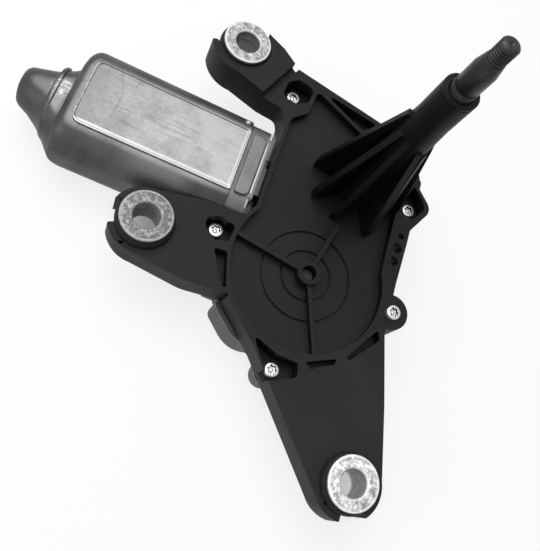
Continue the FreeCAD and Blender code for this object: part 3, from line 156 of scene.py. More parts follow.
# Shades of the can's steel. The sides' tones are far darker than the pad's, a painted reflection of the dark
# surroundings, and one paler side tone is painted light where the left ear's shade falls on the near side.
CAN_TONES = {
    "pad": grey(0.185, -0.001), "mouth": grey(0.305, 0.002), "nose": grey(0.14, -0.001),
    "stain": grey(0.13, -0.001), "speckle": grey(0.33, -0.002), "scratch": grey(0.1, -0.001),
    "bow": grey(0.09), "side": grey(0.042, 0.001), "side_cloud": (0.085, 0.086, 0.085),
    "side_scratch": grey(0.14), "painted_side_light": grey(0.15, 0.002), "polished": grey(0.46, -0.005),
    "glint": grey(0.6), "edge": grey(0.3),
}


class Wire:
    """One socket of a material, which is added, scaled and ramped as a number is. Each
    expression adds the Math nodes that work it out."""

    def __init__(self, finish, socket):
        self.finish = finish
        self.socket = socket

    def maths(self, operation, first, second=0.0):
        return self.finish.node("Math", {"operation": operation}, {0: first, 1: second})

    def __add__(self, other):
        return self.maths("ADD", self, other)

    def __radd__(self, other):
        return self.maths("ADD", other, self)

    def __sub__(self, other):
        return self.maths("SUBTRACT", self, other)

    def __rsub__(self, other):
        return self.maths("SUBTRACT", other, self)

    def __mul__(self, other):
        return self.maths("MULTIPLY", self, other)

    def __rmul__(self, other):
        return self.maths("MULTIPLY", other, self)

    def __abs__(self):
        return self.maths("ABSOLUTE", self)

    def or_larger(self, other):
        return self.maths("MAXIMUM", self, other)

    def clamped(self):
        """Held between 0 and 1."""
        return self.finish.node("Clamp", None, {"Value": self})

    def ramp(self, low, high):
        """0 at low, 1 at high and a smooth change between."""
        settings = {"interpolation_type": "SMOOTHSTEP"}
        return self.finish.node("MapRange", settings, {"Value": self, "From Min": low, "From Max": high})

    def ramp_mm(self, low, high):
        """The same for a length, between two levels in millimetres."""
        return self.ramp(low * MM, high * MM)


class Finish:
    """A material being built on one Principled shader."""

    def __init__(self, name, colour, roughness, metallic=0.0, specular=0.5):
        self.material = bpy.data.materials.new(name)
        self.material.use_nodes = True
        self.tree = self.material.node_tree
        self.shader = self.tree.nodes["Principled BSDF"]
        self.set("Base Color", (*colour, 1.0))
        self.set("Roughness", roughness)
        self.set("Metallic", metallic)
        self.set("Specular IOR Level", specular)
        self.material.diffuse_color = (*colour, 1.0)

    def feed(self, socket, value):
        if isinstance(value, Wire):
            self.tree.links.new(value.socket, socket)
        else:
            socket.default_value = value

    def set(self, label, value):
        self.feed(self.shader.inputs[label], value)

    def node(self, kind, settings, sockets, output=0):
        """Any node of a kind: its settings first, then values or wires for its sockets."""
        item = self.tree.nodes.new("ShaderNode" + kind)
        for name, value in (settings or {}).items():
            setattr(item, name, value)
        for key, value in sockets.items():
            self.feed(item.inputs[key], value)
        return Wire(self, item.outputs[output])

    def vectors(self, operation, first, second, output=0):
        return self.node("VectorMath", {"operation": operation}, {0: first, 1: second}, output)

    def place(self):
        return self.node("TexCoord", None, {}, "Object")

    def stretched(self, scale):
        """Object coordinates scaled by three factors."""
        return self.vectors("MULTIPLY", self.place(), scale)

    def noise(self, scale, detail, roughness, place=None):
        sockets = {"Vector": place or self.place(), "Scale": scale, "Detail": detail, "Roughness": roughness}
        return self.node("TexNoise", None, sockets)

    def cells(self, scale):
        """The distance from the nearest of many scattered points."""
        return self.node("TexVoronoi", None, {"Vector": self.place(), "Scale": scale}, "Distance")

    def mixed(self, amount, first, second):
        """A colour between two, by an amount from 0 to 1."""
        sockets = {0: amount, 6: self.opaque(first), 7: self.opaque(second)}
        return self.node("Mix", {"data_type": "RGBA"}, sockets, 2)

    def opaque(self, colour):
        return colour if isinstance(colour, Wire) else (*colour, 1.0)

    def facing_up(self, low, high):
        """1 where the surface faces up the spindle, 0 on walls, with a smooth rise between."""
        parts = self.node("SeparateXYZ", None, {0: self.node("NewGeometry", None, {}, "Normal")}, "Z")
        return parts.ramp(low, high)

    def along(self, axis):
        """One of the Object coordinates."""
        return self.node("SeparateXYZ", None, {0: self.place()}, axis)

    def close_to(self, x, y, z):
        """The distance from a point."""
        return self.vectors("DISTANCE", self.place(), (x * MM, y * MM, z * MM), "Value")

    def away_from(self, x, y):
        """The distance from a line along the spindle's way."""
        flat = self.stretched((1.0, 1.0, 0.0))
        return self.vectors("DISTANCE", flat, (x * MM, y * MM, 0.0), "Value")

    def ring(self, x, y, radius, width):
        """A thin soft ring about a point, 1 on its line."""
        return abs(self.away_from(x, y) - radius * MM).ramp_mm(width, 0.0)

    def rounded_normal(self, radius):
        return self.node("Bevel", {"samples": 6}, {"Radius": radius * MM})

    def edge_mask(self, radius):
        """1 on sharp edges and 0 on flat ground: how far the rounded normal leans from the true one."""
        true = self.node("NewGeometry", None, {}, "Normal")
        lean = self.vectors("DOT_PRODUCT", true, self.rounded_normal(radius), "Value")
        return (1.0 - lean).ramp(0.02, 0.3)

    def relief(self, height, depth, radius=0.0):
        """Bumps the surface by a height from 0 to 1 and a depth in millimetres, over softened edges."""
        sockets = {"Height": height, "Distance": depth * MM, "Strength": 1.0}
        if radius:
            sockets["Normal"] = self.rounded_normal(radius)
        self.set("Normal", self.node("Bump", None, sockets))


def scaled(colour, factor):
    """A colour made darker or paler."""
    return [channel * factor for channel in colour]


def black_moulding(name, wall, top, haze_and_lit_tone, edge, marks=(), shade_below=None):
    """Moulded black plastic: fine spark-eroded grain, a bloom of dust on what faces up, a painted
    shade on the deck near the tower, paler edges from wear and a painted highlight, and the faint
    rings of the mould's ejector pins. Below a level, where there is one, the surface takes a
    painted shade, nearly pure black."""
    finish = Finish(name, top, 0.5, specular=0.14)
    clouds = finish.noise(24.0, 4.0, 0.6).ramp(0.4, 0.74)
    specks = finish.cells(900.0).ramp(0.12, 0.05)
    grain = finish.noise(2600.0, 2.0, 0.6)
    # Painted shade: the deck is darkest near the tower, where the tower's shade falls, and paler towards the
    # arms' ends.
    out_of_tower_shade = finish.away_from(-60.0, 10.0).ramp_mm(85.0, 160.0)
    dust_and_shade = finish.mixed(clouds * 0.4 + out_of_tower_shade * 0.6, top, haze_and_lit_tone)
    toned = finish.mixed(finish.facing_up(0.35, 0.95), wall, dust_and_shade)
    toned = finish.mixed(specks * 0.12, toned, scaled(haze_and_lit_tone, 2.0))
    height = grain * 0.4
    for x, y, radius in marks:
        line = finish.ring(x, y, radius, 0.35)
        toned = finish.mixed(line * 0.35, toned, wall)
        height = height - line
    # Paler edges: wear, with a painted highlight along them.
    toned = finish.mixed(finish.edge_mask(0.35) * 0.6, toned, edge)
    # Painted shade: below the level the surface fades to nearly pure black.
    if shade_below is not None:
        fade = 22.0
        foot_shade = finish.along("Z").ramp_mm(shade_below, shade_below - fade)
        toned = finish.mixed(foot_shade * 0.85, toned, grey(0.002, 0.0001))
    finish.set("Base Color", toned)
    finish.set("Roughness", 0.42 + clouds * 0.12 + grain * 0.08)
    finish.relief(height, 0.06, 0.3)
    return finish.material


def drawn_can(name):
    """Pressed steel: a rubbed pad with rolling lines, stains, speckle and two faint drawing
    bows, brighter towards the mouth and polished on three of its edges, and darker sides, a
    painted reflection of dark surroundings, with clouds and scratches, a stretch of painted
    light by the left ear, and one painted glint on the collar."""
    tones = CAN_TONES
    finish = Finish(name, tones["pad"], 0.42, 0.7)
    rolled = finish.noise(60.0, 5.0, 0.65, finish.stretched((0.25, 6.0, 6.0)))
    scratches = finish.noise(34.0, 8.0, 0.75, finish.stretched((1.0, 18.0, 18.0))).ramp(0.54, 0.68)
    stains = finish.noise(40.0, 6.0, 0.68).ramp(0.42, 0.7)
    speckle = finish.noise(700.0, 3.0, 0.75).ramp(0.44, 0.66)
    x = finish.along("X")
    y = finish.along("Y")

    to_mouth = finish.away_from(-62.0, MOTOR_Y).ramp_mm(75.0, 5.0)
    dull = finish.mixed(to_mouth, tones["pad"], tones["mouth"])
    dull = finish.mixed(stains * 0.5, dull, tones["stain"])
    dull = finish.mixed(speckle * 0.4, dull, tones["speckle"])
    dull = finish.mixed(scratches * 0.6, dull, tones["scratch"])
    dull = finish.mixed(x.ramp_mm(-120.0, -136.0) * 0.6, dull, tones["nose"])
    left_bow = finish.ring(-117.5, -14.6, 18.5, 0.8) * x.ramp_mm(-127.0, -131.0)
    right_bow = finish.ring(-155.9, -17.3, 33.5, 0.9) * y.ramp_mm(-31.0, -27.0)
    bows = (left_bow + right_bow).clamped() * (0.4 + stains * 0.6)
    dull = finish.mixed(bows * 0.6, dull, tones["bow"])

    # Painted reflection: the sides, which mirror dark surroundings, are much darker than the pad; clouds and
    # scratches mark them.
    clouds = finish.noise(30.0, 4.0, 0.6).ramp(0.35, 0.7)
    sides_painted_dark = finish.mixed(clouds, tones["side"], tones["side_cloud"])
    sides_painted_dark = finish.mixed(scratches * 0.3, sides_painted_dark, tones["side_scratch"])
    # Painted light: a paler stretch of the near side by the left ear, where that ear's shade and dark
    # reflection fall.
    painted_side_light = x.ramp_mm(-118.0, -100.0) * x.ramp_mm(-74.0, -88.0) * y.ramp_mm(-30.0, -36.0)
    sides_painted_dark = finish.mixed(painted_side_light * 0.85, sides_painted_dark, tones["painted_side_light"])
    toned = finish.mixed(finish.facing_up(0.9, 0.99), sides_painted_dark, dull)

    pad_left = PAD_MIDDLE[0] - PAD_HALF[0]
    pad_right = PAD_MIDDLE[0] + PAD_HALF[0]
    pad_near = PAD_MIDDLE[1] - PAD_HALF[1]
    near_edge = y.ramp_mm(pad_near + 2.9, pad_near + 1.8)
    left_edge = x.ramp_mm(pad_left + 1.8, pad_left + 0.8) * (0.3 + speckle * 0.5)
    mouth_edge = x.ramp_mm(pad_right - 2.5, pad_right - 1.7) * 0.45
    polished = near_edge.or_larger(left_edge + mouth_edge).clamped()
    on_pad = finish.along("Z").ramp_mm(CAN_TOP + 0.1, CAN_TOP + 0.3)
    toned = finish.mixed(polished * on_pad * finish.facing_up(0.3, 0.7), toned, tones["polished"])
    glint = finish.close_to(-148.2, -18.5, -7.0).ramp_mm(6.5, 2.0) * speckle * 0.8
    toned = finish.mixed(glint, toned, tones["glint"])
    finish.set("Base Color", finish.mixed(finish.edge_mask(0.7) * 0.5, toned, tones["edge"]))
    finish.set("Roughness", 0.38 + rolled * 0.12 + stains * 0.12)
    finish.relief(rolled * 0.6 + scratches * 0.4 + speckle * 0.3 - bows * 0.4, 0.05, 0.6)
    return finish.material


def die_casting(name, ground, pale):
    """Cast light metal: an orange-peel skin with flow marks and brighter edges, duller on the
    pan's far side than on the neck that carries the flange."""
    finish = Finish(name, ground, 0.45, 0.7)
    flow = finish.noise(55.0, 5.0, 0.65).ramp(0.4, 0.7)
    skin = finish.noise(900.0, 3.0, 0.6)
    walls = scaled(ground, 0.5)
    toned = finish.mixed(finish.facing_up(0.2, 0.9), walls, ground)
    toned = finish.mixed(flow * 0.5, toned, walls)
    toned = finish.mixed(finish.along("Y").ramp_mm(-45.0, -65.0) * 0.8, toned, scaled(ground, 0.4))
    finish.set("Base Color", finish.mixed(finish.edge_mask(0.5) * 0.7, toned, pale))
    finish.set("Roughness", 0.38 + skin * 0.2)
    finish.relief(skin, 0.06, 0.4)
    return finish.material


def mottled_sleeve(name, x, y, tone):
    """A sleeve face with coarse, pitted grain between two bright turned rings: the rim and
    the bore's chamfer. Its tone, a painted light level for each ear, scales every shade."""
    shades = {key: grey(min(0.9, value * tone)) for key, value in SLEEVE_SHADES.items()}
    finish = Finish(name, shades["light"], 0.42, 0.6)
    pits = finish.cells(620.0).ramp(0.5, 0.1)
    mottle = finish.noise(330.0, 6.0, 0.85).ramp(0.42, 0.57)
    face_on = finish.facing_up(0.1, 0.7)
    toned = finish.mixed(mottle, shades["dark"], shades["light"])
    pitted = finish.mixed(pits * 0.4, toned, shades["pit"])
    shaded = finish.mixed(face_on, shades["bore"], pitted)
    rings = finish.ring(x, y, 11.5, 0.9) + finish.ring(x, y, 6.5, 0.8)
    finish.set("Base Color", finish.mixed((rings * face_on).clamped() * 0.85, shaded, shades["ring"]))
    finish.set("Roughness", 0.36 + mottle * 0.2)
    finish.relief(mottle * 0.7 + pits * 0.3, 0.12, 0.4)
    return finish.material


def turned_metal(name, ground, roughness, pale, metallic=0.9, grooved=False):
    """Turned or ground metal: fine rings of tone round the part and paler edges. A grooved
    piece has an attribute by which the bottoms of its thread take a painted shade."""
    finish = Finish(name, ground, roughness, metallic)
    streaks = finish.noise(90.0, 6.0, 0.7, finish.stretched((3.0, 3.0, 20.0)))
    spots = finish.noise(420.0, 3.0, 0.6).ramp(0.55, 0.75)
    toned = finish.mixed(streaks.ramp(0.35, 0.7) * 0.4, ground, scaled(ground, 0.6))
    toned = finish.mixed(spots * 0.25, toned, pale)
    toned = finish.mixed(finish.edge_mask(0.3) * 0.6, toned, pale)
    # Painted shade in the thread's grooves, darkest at their bottoms.
    if grooved:
        depth = finish.node("Attribute", {"attribute_name": "groove"}, {}, "Fac")
        toned = finish.mixed(depth.ramp(0.25, 0.7), toned, grey(0.002))
    finish.set("Base Color", toned)
    finish.set("Roughness", roughness + streaks * 0.15 - 0.05)
    finish.relief(streaks, 0.02, 0.2)
    return finish.material


def soft_rubber(name):
    """Black rubber with a dull bloom."""
    ground = grey(0.009, 0.0005)
    finish = Finish(name, ground, 0.7, specular=0.2)
    bloom = finish.noise(120.0, 4.0, 0.6).ramp(0.45, 0.75)
    skin = finish.noise(1800.0, 2.0, 0.5)
    toned = finish.mixed(bloom * 0.5, ground, grey(0.022))
    finish.set("Base Color", finish.mixed(finish.edge_mask(0.4) * 0.35, toned, grey(0.06)))
    finish.set("Roughness", 0.6 + bloom * 0.2)
    finish.relief(skin, 0.04, 0.3)
    return finish.material


def plain_grain(name, ground, roughness, metallic, depth):
    """A simple grained finish, for the pieces inside the housings and for deep recesses."""
    finish = Finish(name, ground, roughness, metallic)
    grain = finish.noise(700.0, 4.0, 0.6)
    finish.set("Base Color", finish.mixed(grain.ramp(0.35, 0.7), scaled(ground, 0.75), ground))
    finish.set("Roughness", roughness + grain * 0.15 - 0.07)
    finish.relief(grain, depth, 0.15)
    return finish.material


def striped(name, ground, gap, spacing, direction, metallic, roughness):
    """Thin stripes across the armature: stacked sheets, or turns of wire."""
    finish = Finish(name, ground, roughness, metallic)
    # The wave node puts a stripe at every pi tenths of its scaled coordinate.
    sockets = {"Vector": finish.place(), "Scale": math.pi / (10.0 * spacing * MM)}
    bands = finish.node("TexWave", {"wave_type": "BANDS", "bands_direction": direction}, sockets, 1)
    finish.set("Base Color", finish.mixed(bands, gap, ground))
    finish.relief(bands, 0.12)
    return finish.material


finishes = {
    "black_plastic": black_moulding("black_moulding", grey(0.0045, 0.0003), grey(0.0075, 0.0003),
                                    grey(0.0235, 0.0005), grey(0.06, 0.002), EJECTOR_MARKS),
    "cast_metal": die_casting("cast_housing", grey(0.148, 0.001), grey(0.42)),
    "can_steel": drawn_can("drawn_can"),
    "sleeve_metal": mottled_sleeve("mottled_sleeve", *EARS["left"], 1.0),
    "rubber": soft_rubber("grommet_rubber"),
    "bright_steel": turned_metal("ground_steel", grey(0.5), 0.3, grey(0.75, -0.01)),
    "screw_steel": turned_metal("zinc_screw", grey(0.62, -0.01), 0.32, grey(0.85, -0.01)),
    "gear_plastic": plain_grain("gear_nylon", (0.72, 0.7, 0.62), 0.45, 0.0, 0.02),
    "bearing_bronze": plain_grain("bush_bronze", (0.5, 0.36, 0.18), 0.4, 0.9, 0.03),
    "magnet_ferrite": plain_grain("magnet_ferrite", grey(0.05, 0.002), 0.6, 0.2, 0.05),
    "lamination_steel": striped("stacked_sheets", grey(0.42, 0.01), grey(0.1), 0.5, "X", 0.8, 0.4),
    "copper_wire": striped("copper_turns", (0.62, 0.26, 0.12), (0.2, 0.07, 0.03), 0.7, "Y", 0.9, 0.35),
    "card_plastic": plain_grain("brush_card", (0.3, 0.2, 0.1), 0.5, 0.0, 0.02),
    "brush_carbon": plain_grain("brush_carbon", grey(0.04, 0.002), 0.6, 0.1, 0.04),
}
dark_spindle = turned_metal("dark_spindle", grey(0.02, 0.001), 0.36, grey(0.16), 0.6, grooved=True)
# The tower's moulding is a darker copy of the deck's: a painted shade for the dark the tower stands in and
# mirrors, and nearly black below a level as painted shade.
shaded_tower_plastic = black_moulding("shaded_tower_moulding", grey(0.0034, 0.0002), grey(0.005, 0.0003),
                               grey(0.008, 0.0004), grey(0.05, 0.002), shade_below=64.0)
bright_rim = turned_metal("bright_rim", grey(0.4), 0.35, grey(0.7), 0.7)
# Painted shade for deep recesses: the screws' star recesses and the sunk wheel axle.
recess_shade = plain_grain("screw_recess_shade", grey(0.02), 0.6, 0.2, 0.01)

# The tower takes its own darker moulding, and the wheel's axle the painted shade of a deep recess.
OWN_FINISH = {"spindle_tower": shaded_tower_plastic, "wheel_axle": recess_shade}

slot_of = {entry["node"]: entry["material_slot"] for entry in frame["record"]["subparts"]}
for label, node in frame["nodes"].items():
    node.data.materials.clear()
    node.data.materials.append(OWN_FINISH.get(label, finishes[slot_of[label]]))


# Meshes from numpy grids.
def surface(name, grid, close_u=False, close_v=False, cap_start=False, cap_end=False, smooth=True):
    """A mesh through a grid of points (rows u, columns v): each square of neighbours is a
    face, the last row or column joins the first where it is closed, and an open end may
    be capped by one flat face."""
    rows, columns = grid.shape[:2]
    u = np.arange(rows if close_u else rows - 1)
    v = np.arange(columns if close_v else columns - 1)
    first, second = np.meshgrid(u, v, indexing="ij")
    next_u = (first + 1) % rows
    next_v = (second + 1) % columns
    corners = (first * columns + second, first * columns + next_v, next_u * columns + next_v,
               next_u * columns + second)
    faces = np.stack(corners, axis=-1).reshape(-1, 4).tolist()
    if cap_start:
        faces.append(list(range(columns)))
    if cap_end:
        faces.append(list(range(rows * columns - 1, (rows - 1) * columns - 1, -1)))
    mesh = bpy.data.meshes.new(name)
    mesh.from_pydata((grid.reshape(-1, 3) * MM).tolist(), [], faces)
    mesh.update()
    if smooth:
        mesh.shade_smooth()
    return mesh


def merge_corners(mesh, reach=1e-7, turn_faces_out=True):
    """Merges doubled corners, so that seams close, and may point every face outwards."""
    work = bmesh.new()
    work.from_mesh(mesh)
    bmesh.ops.remove_doubles(work, verts=work.verts, dist=reach)
    if turn_faces_out:
        bmesh.ops.recalc_face_normals(work, faces=work.faces)
    work.to_mesh(mesh)
    work.free()


def new_object(name, data):
    """An object in the scene, at the origin."""
    item = bpy.data.objects.new(name, data)
    bpy.context.scene.collection.objects.link(item)
    return item


def piece(name, mesh, material, body, merged=False):
    """An object of the scene that rides on a body and takes its finish."""
    if not merged:
        merge_corners(mesh)
    mesh.set_sharp_from_angle(angle=SHARP_FOLD)
    mesh.materials.append(material)
    item = new_object(name, mesh)
    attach(item, body)
    return item


def rows_of(collection, field):
    """One vector of every vertex or face of a mesh, as rows."""
    flat = np.empty(len(collection) * 3)
    collection.foreach_get(field, flat)
    return flat.reshape(-1, 3)


def turned(profile, steps, ripple=None):
    """Points of a turned surface: radius and level run along the profile, and the angle
    runs round Z. A ripple adds to the radius by level and angle."""
    radius, level = np.array(profile, float).T
    angle = np.linspace(0.0, 2 * math.pi, steps, endpoint=False)
    turn, reach = np.meshgrid(angle, radius)
    height = np.meshgrid(angle, level)[1]
    if ripple is not None:
        reach = reach + ripple(height, turn)
    return np.stack((reach * np.cos(turn), reach * np.sin(turn), height), axis=-1)


def ring_mesh(name, profile, x, y):
    """A closed profile carried once round a line along the spindle's way."""
    grid = turned(profile, RING_STEPS) + np.array((x, y, 0.0))
    return surface(name, grid, close_u=True, close_v=True)


def sector_mesh(name, profile, x, y, start, stop):
    """A closed profile carried along part of a circle, from one angle to another in degrees."""
    radius, level = np.array(profile, float).T
    turn = np.radians(np.linspace(start, stop, SECTOR_STEPS))
    angle, reach = np.meshgrid(turn, radius, indexing="ij")
    height = np.broadcast_to(level, reach.shape)
    grid = np.stack((x + reach * np.cos(angle), y + reach * np.sin(angle), height), axis=-1)
    return surface(name, grid, close_v=True, cap_start=True, cap_end=True)


def outline(half_a, half_b, corner):
    """A rounded rectangle: four quarter circles about inset centres, with a point close to
    each end of every straight side, so that flat sides shade flat. The corner is one radius,
    or four, for +a +b, -a +b, -a -b and +a -b."""
    corner = np.broadcast_to(np.asarray(corner, float), (4,))[:, None]
    quarter = np.linspace(0.0, math.pi / 2, CORNER_STEPS)
    turn = quarter + np.arange(4)[:, None] * math.pi / 2
    side_a = np.array((1, -1, -1, 1))[:, None]
    side_b = np.array((1, 1, -1, -1))[:, None]
    corners = np.stack((side_a * (half_a - corner) + corner * np.cos(turn),
                        side_b * (half_b - corner) + corner * np.sin(turn)), axis=-1)
    last = corners[:, -1:]
    following = np.roll(corners[:, :1], -1, axis=0)
    near_last = last + 0.03 * (following - last)
    near_following = last + 0.97 * (following - last)
    return np.concatenate((corners, near_last, near_following), axis=1).reshape(-1, 2)


def upright_section(x, middle_y, half_width, half_height, corner):
    """A rounded outline that stands across the motor's shaft, about the gear level."""
    flat = outline(half_width, half_height, corner)
    return np.column_stack((np.full(len(flat), x), middle_y + flat[:, 0], GEAR_LEVEL + flat[:, 1]))


def can_mesh():
    """The drawn can: rounded sections along the shaft's way, from the bearing nose over its
    flared cone and collar to the mouth, then back along the inner wall. Its end is a quarter
    circle that insets the far side in full, and the near side and the height by less."""
    width = CAN_HALF_WIDTH
    height = CAN_HALF_HEIGHT
    rows = list(NOSE_ROWS)
    for turn in np.linspace(0.0, math.pi / 2, 8):
        inset = CAN_END_RADIUS * (1.0 - math.sin(turn))
        x = CAN_END_X + CAN_END_RADIUS * (1.0 - math.cos(turn))
        rows.append((x, width - inset, width - 0.15 * inset, height - 0.6 * inset))
    rows += [(x, width, width, height) for x in (-137.2, -120.0, -100.0, -80.0, -62.3)]
    rows.append((CAN_MOUTH_X, width - 0.2, width - 0.2, height - 0.2))
    inner = (width - CAN_WALL, width - CAN_WALL, height - CAN_WALL)
    rows += [(CAN_MOUTH_X, *inner), (-136.0, *inner)]
    rows += [(x, CAN_BORE, CAN_BORE, CAN_BORE) for x in (-138.0, -159.0)]
    grid = []
    for x, far, near, half_height in rows:
        half_width = (far + near) / 2
        corner = min(half_height, half_width, CAN_CORNER)
        grid.append(upright_section(x, MOTOR_Y + (far - near) / 2, half_width, half_height, corner))
    return surface("drawn_can", np.array(grid), close_v=True, cap_start=True, cap_end=True)


def plateau_mesh(name, middle, half_sides, corners, ground, rows):
    """A raised flat field: one rounded outline after another, each inset by so much and so
    far over the ground, closed by a flat top and foot."""
    grid = []
    for inset, rise in rows:
        radii = np.maximum(np.array(corners) - inset, 0.3)
        flat = outline(half_sides[0] - inset, half_sides[1] - inset, radii) + middle
        grid.append(np.column_stack((flat, np.full(len(flat), ground + rise))))
    return surface(name, np.array(grid), close_v=True, cap_start=True, cap_end=True)


def rim_mesh():
    """The motor flange's thin edge: a can-shaped plate with a smaller opening, its outer
    corners eased. Each section is a half width, a half height and a corner radius."""
    opening = (16.0, 14.0, 10.0)
    eased = (25.8, 17.8, 14.0)
    full = (26.0, 18.0, 14.2)
    rows = ((FLANGE_FACE_X, opening), (FLANGE_FACE_X, eased), (FLANGE_FACE_X - 0.2, full),
            (FLANGE_BACK_X + 0.2, full), (FLANGE_BACK_X, eased), (FLANGE_BACK_X, opening))
    grid = [upright_section(x, MOTOR_Y, *section) for x, section in rows]
    return surface("flange_rim", np.array(grid), close_u=True, close_v=True)


def stud_mesh():
    """A crimp's dimple: a ball, as a half circle turned round, whose poles are flat."""
    turn = np.linspace(-1.5, 1.5, 11)
    profile = STUD_RADIUS * np.column_stack((np.cos(turn), np.sin(turn)))
    grid = turned(profile, 32) + np.array(STUD_PLACE)
    return surface("crimp_stud", grid, close_v=True, cap_start=True, cap_end=True)


def spindle_mesh():
    """The spindle: a turned bar with a cone and an M8 thread. The thread's depth follows
    a triangle wave of level over pitch less turn over a full circle, and fades at its ends.
    Its end face has two turned rings and a centre dimple."""
    bottom, cone, foot, tip = (SPINDLE_LEVELS[key] for key in ("bottom", "cone", "thread", "tip"))
    crest = THREAD_CREST
    start = foot + 0.4
    end = tip - 0.8

    def thread(level, turn):
        phase = np.mod(level / THREAD_PITCH - turn / (2 * math.pi), 1.0)
        wave = np.abs(2.0 * phase - 1.0)
        fade = np.clip((level - start) / 0.8, 0, 1) * np.clip((end - level) / 0.5, 0, 1)
        return -THREAD_DEPTH * wave * fade

    profile = [(0.01, bottom), (5.05, bottom), (5.45, bottom + 0.4), (5.45, 84.0), (5.4, 84.1), (5.4, 84.5),
               (5.45, 84.6), (5.45, 95.3), (5.42, cone), (4.32, foot - 0.4), (4.2, foot),
               (3.6, foot + 0.05), (3.6, foot + 0.3)]
    profile += [(crest, level) for level in np.arange(start, end, 0.05)]
    profile += [(crest - 0.15, end), (crest - 0.45, tip - 0.35), (3.1, tip), (2.6, tip), (2.5, tip - 0.12),
                (2.3, tip - 0.12), (2.2, tip), (1.3, tip), (0.9, tip - 0.4), (0.01, tip - 0.7)]
    return surface("spindle_bar", turned(profile, 120, thread), close_v=True)


def mark_grooves(mesh):
    """Writes how deep each point of the thread lies, from 0 on the crest to 1 at the bottom."""
    places = rows_of(mesh.vertices, "co") / MM
    sunk = (THREAD_CREST - np.hypot(places[:, 0], places[:, 1])) / THREAD_DEPTH
    threaded = (places[:, 2] > SPINDLE_LEVELS["thread"]) & (places[:, 2] < SPINDLE_LEVELS["tip"] - 0.7)
    groove = mesh.attributes.new("groove", "FLOAT", "POINT")
    groove.data.foreach_set("value", np.where(threaded, np.clip(sunk, 0.0, 1.0), 0.0))


def screw_mesh(name, x, y, level, size):
    """A star-drive screw head: a flat bright cheese head with a rounded rim, and a
    six-lobed recess whose edge radius swings with the cosine of six times the angle."""
    steps = 72
    rim = 3.6 * size
    height = 3.0 * size
    angle = np.linspace(0.0, 2 * math.pi, steps, endpoint=False)
    star = 2.1 * size * (1.0 + 0.15 * np.cos(6 * angle))
    rows = ((2.4, -6.0), (2.4, 0.0), (rim - 0.2, 0.0), (rim, 0.25), (rim, height - 0.5),
            (rim - 0.12, height - 0.18), (rim - 0.4, height), (star + 0.12, height), (star, height - 0.12),
            (star * 0.96, height - 1.5 * size), (star * 0.5, height - 1.6 * size),
            (0.9, height - 1.1 * size), (0.01, height - 0.95 * size))
    reach = np.stack([np.broadcast_to(row[0], steps) for row in rows])
    rise = np.stack([np.full(steps, row[1]) for row in rows])
    grid = np.stack((x + reach * np.cos(angle), y + reach * np.sin(angle), level + rise), axis=-1)
    return surface(name, grid, close_v=True, cap_start=True)


def darken_recess(screw, x, y, level):
    """Gives the recess of a screw a painted shade, a dark finish: what lies close to its axis,
    above the head's foot, and doesn't face up."""
    faces = screw.data.polygons
    middle = rows_of(faces, "center") / MM
    off_axis = np.hypot(middle[:, 0] - x, middle[:, 1] - y)
    steep = np.abs(rows_of(faces, "normal")[:, 2]) < 0.9
    recess = (off_axis > 0.9) & (off_axis < 2.3) & (middle[:, 2] > level + 1.0) & steep
    screw.data.materials.append(recess_shade)
    faces.foreach_set("material_index", recess.astype(np.int32))


def sleeve_profile(groove_pitch, groove_depth):
    """Radius and level round a sleeve's wall: a flange with a turned rim, and a bore whose
    grooves follow the sine of level over pitch."""
    outside = [(7.05, 0.0), (7.2, -0.02), (11.35, -0.02), (11.7, -0.12), (12.0, -0.5), (12.0, -1.75),
               (11.8, -2.0), (7.6, -2.0), (7.6, -16.8), (7.4, -17.0), (6.5, -17.0), (6.25, -16.7)]
    level = np.arange(-16.4, -1.1, 0.12)
    wave = 0.5 - 0.5 * np.sin(2 * math.pi * level / groove_pitch)
    inside = list(zip(6.05 + groove_depth * wave, level))
    return outside + inside + [(6.05, -1.0), (6.1, -0.75), (6.7, -0.1), (6.85, 0.0)]


def prism_mesh(name, corners, top, bottom):
    """An upright prism over a flat outline."""
    flat = np.array(corners, float)
    grid = np.stack([np.column_stack((flat, np.full(len(flat), level))) for level in (bottom, top)])
    return surface(name, grid, close_v=True, cap_start=True, cap_end=True, smooth=False)


def cut_front_mesh():
    """The front housing's own shape with the top ear's left arm cut back, by a wedge about
    the ear's centre, and its far side trimmed by a prism."""
    whole = frame["nodes"]["front_housing"].data.copy()
    merge_corners(whole, 1e-6, turn_faces_out=False)
    top, bottom = CUT_LEVELS
    inner, outer = ARM_CUT_RADII
    wedge_profile = ((inner, top), (outer, top), (outer, bottom), (inner, bottom))
    wedge = sector_mesh("arm_wedge", wedge_profile, *EARS["top"], *ARM_CUT_ANGLES)
    corner_cut = prism_mesh("corner_cut", EAR_CORNER_CUT, top, bottom)
    merge_corners(wedge)
    merge_corners(corner_cut)
    parts = [new_object(mesh.name, mesh) for mesh in (whole, wedge, corner_cut)]
    for cutter in parts[1:]:
        modifier = parts[0].modifiers.new("cut", "BOOLEAN")
        modifier.operation = "DIFFERENCE"
        modifier.solver = "EXACT"
        modifier.object = cutter
    graph = bpy.context.evaluated_depsgraph_get()
    mesh = bpy.data.meshes.new_from_object(parts[0].evaluated_get(graph))
    mesh.name = "moulded_front"
    for part in parts:
        bpy.data.objects.remove(part)
    mesh.materials.clear()
    # The frame's own normals don't fit the cut shape, and would smear its shading.
    if "custom_normal" in mesh.attributes:
        mesh.attributes.remove(mesh.attributes["custom_normal"])
    mesh.shade_smooth()
    return mesh


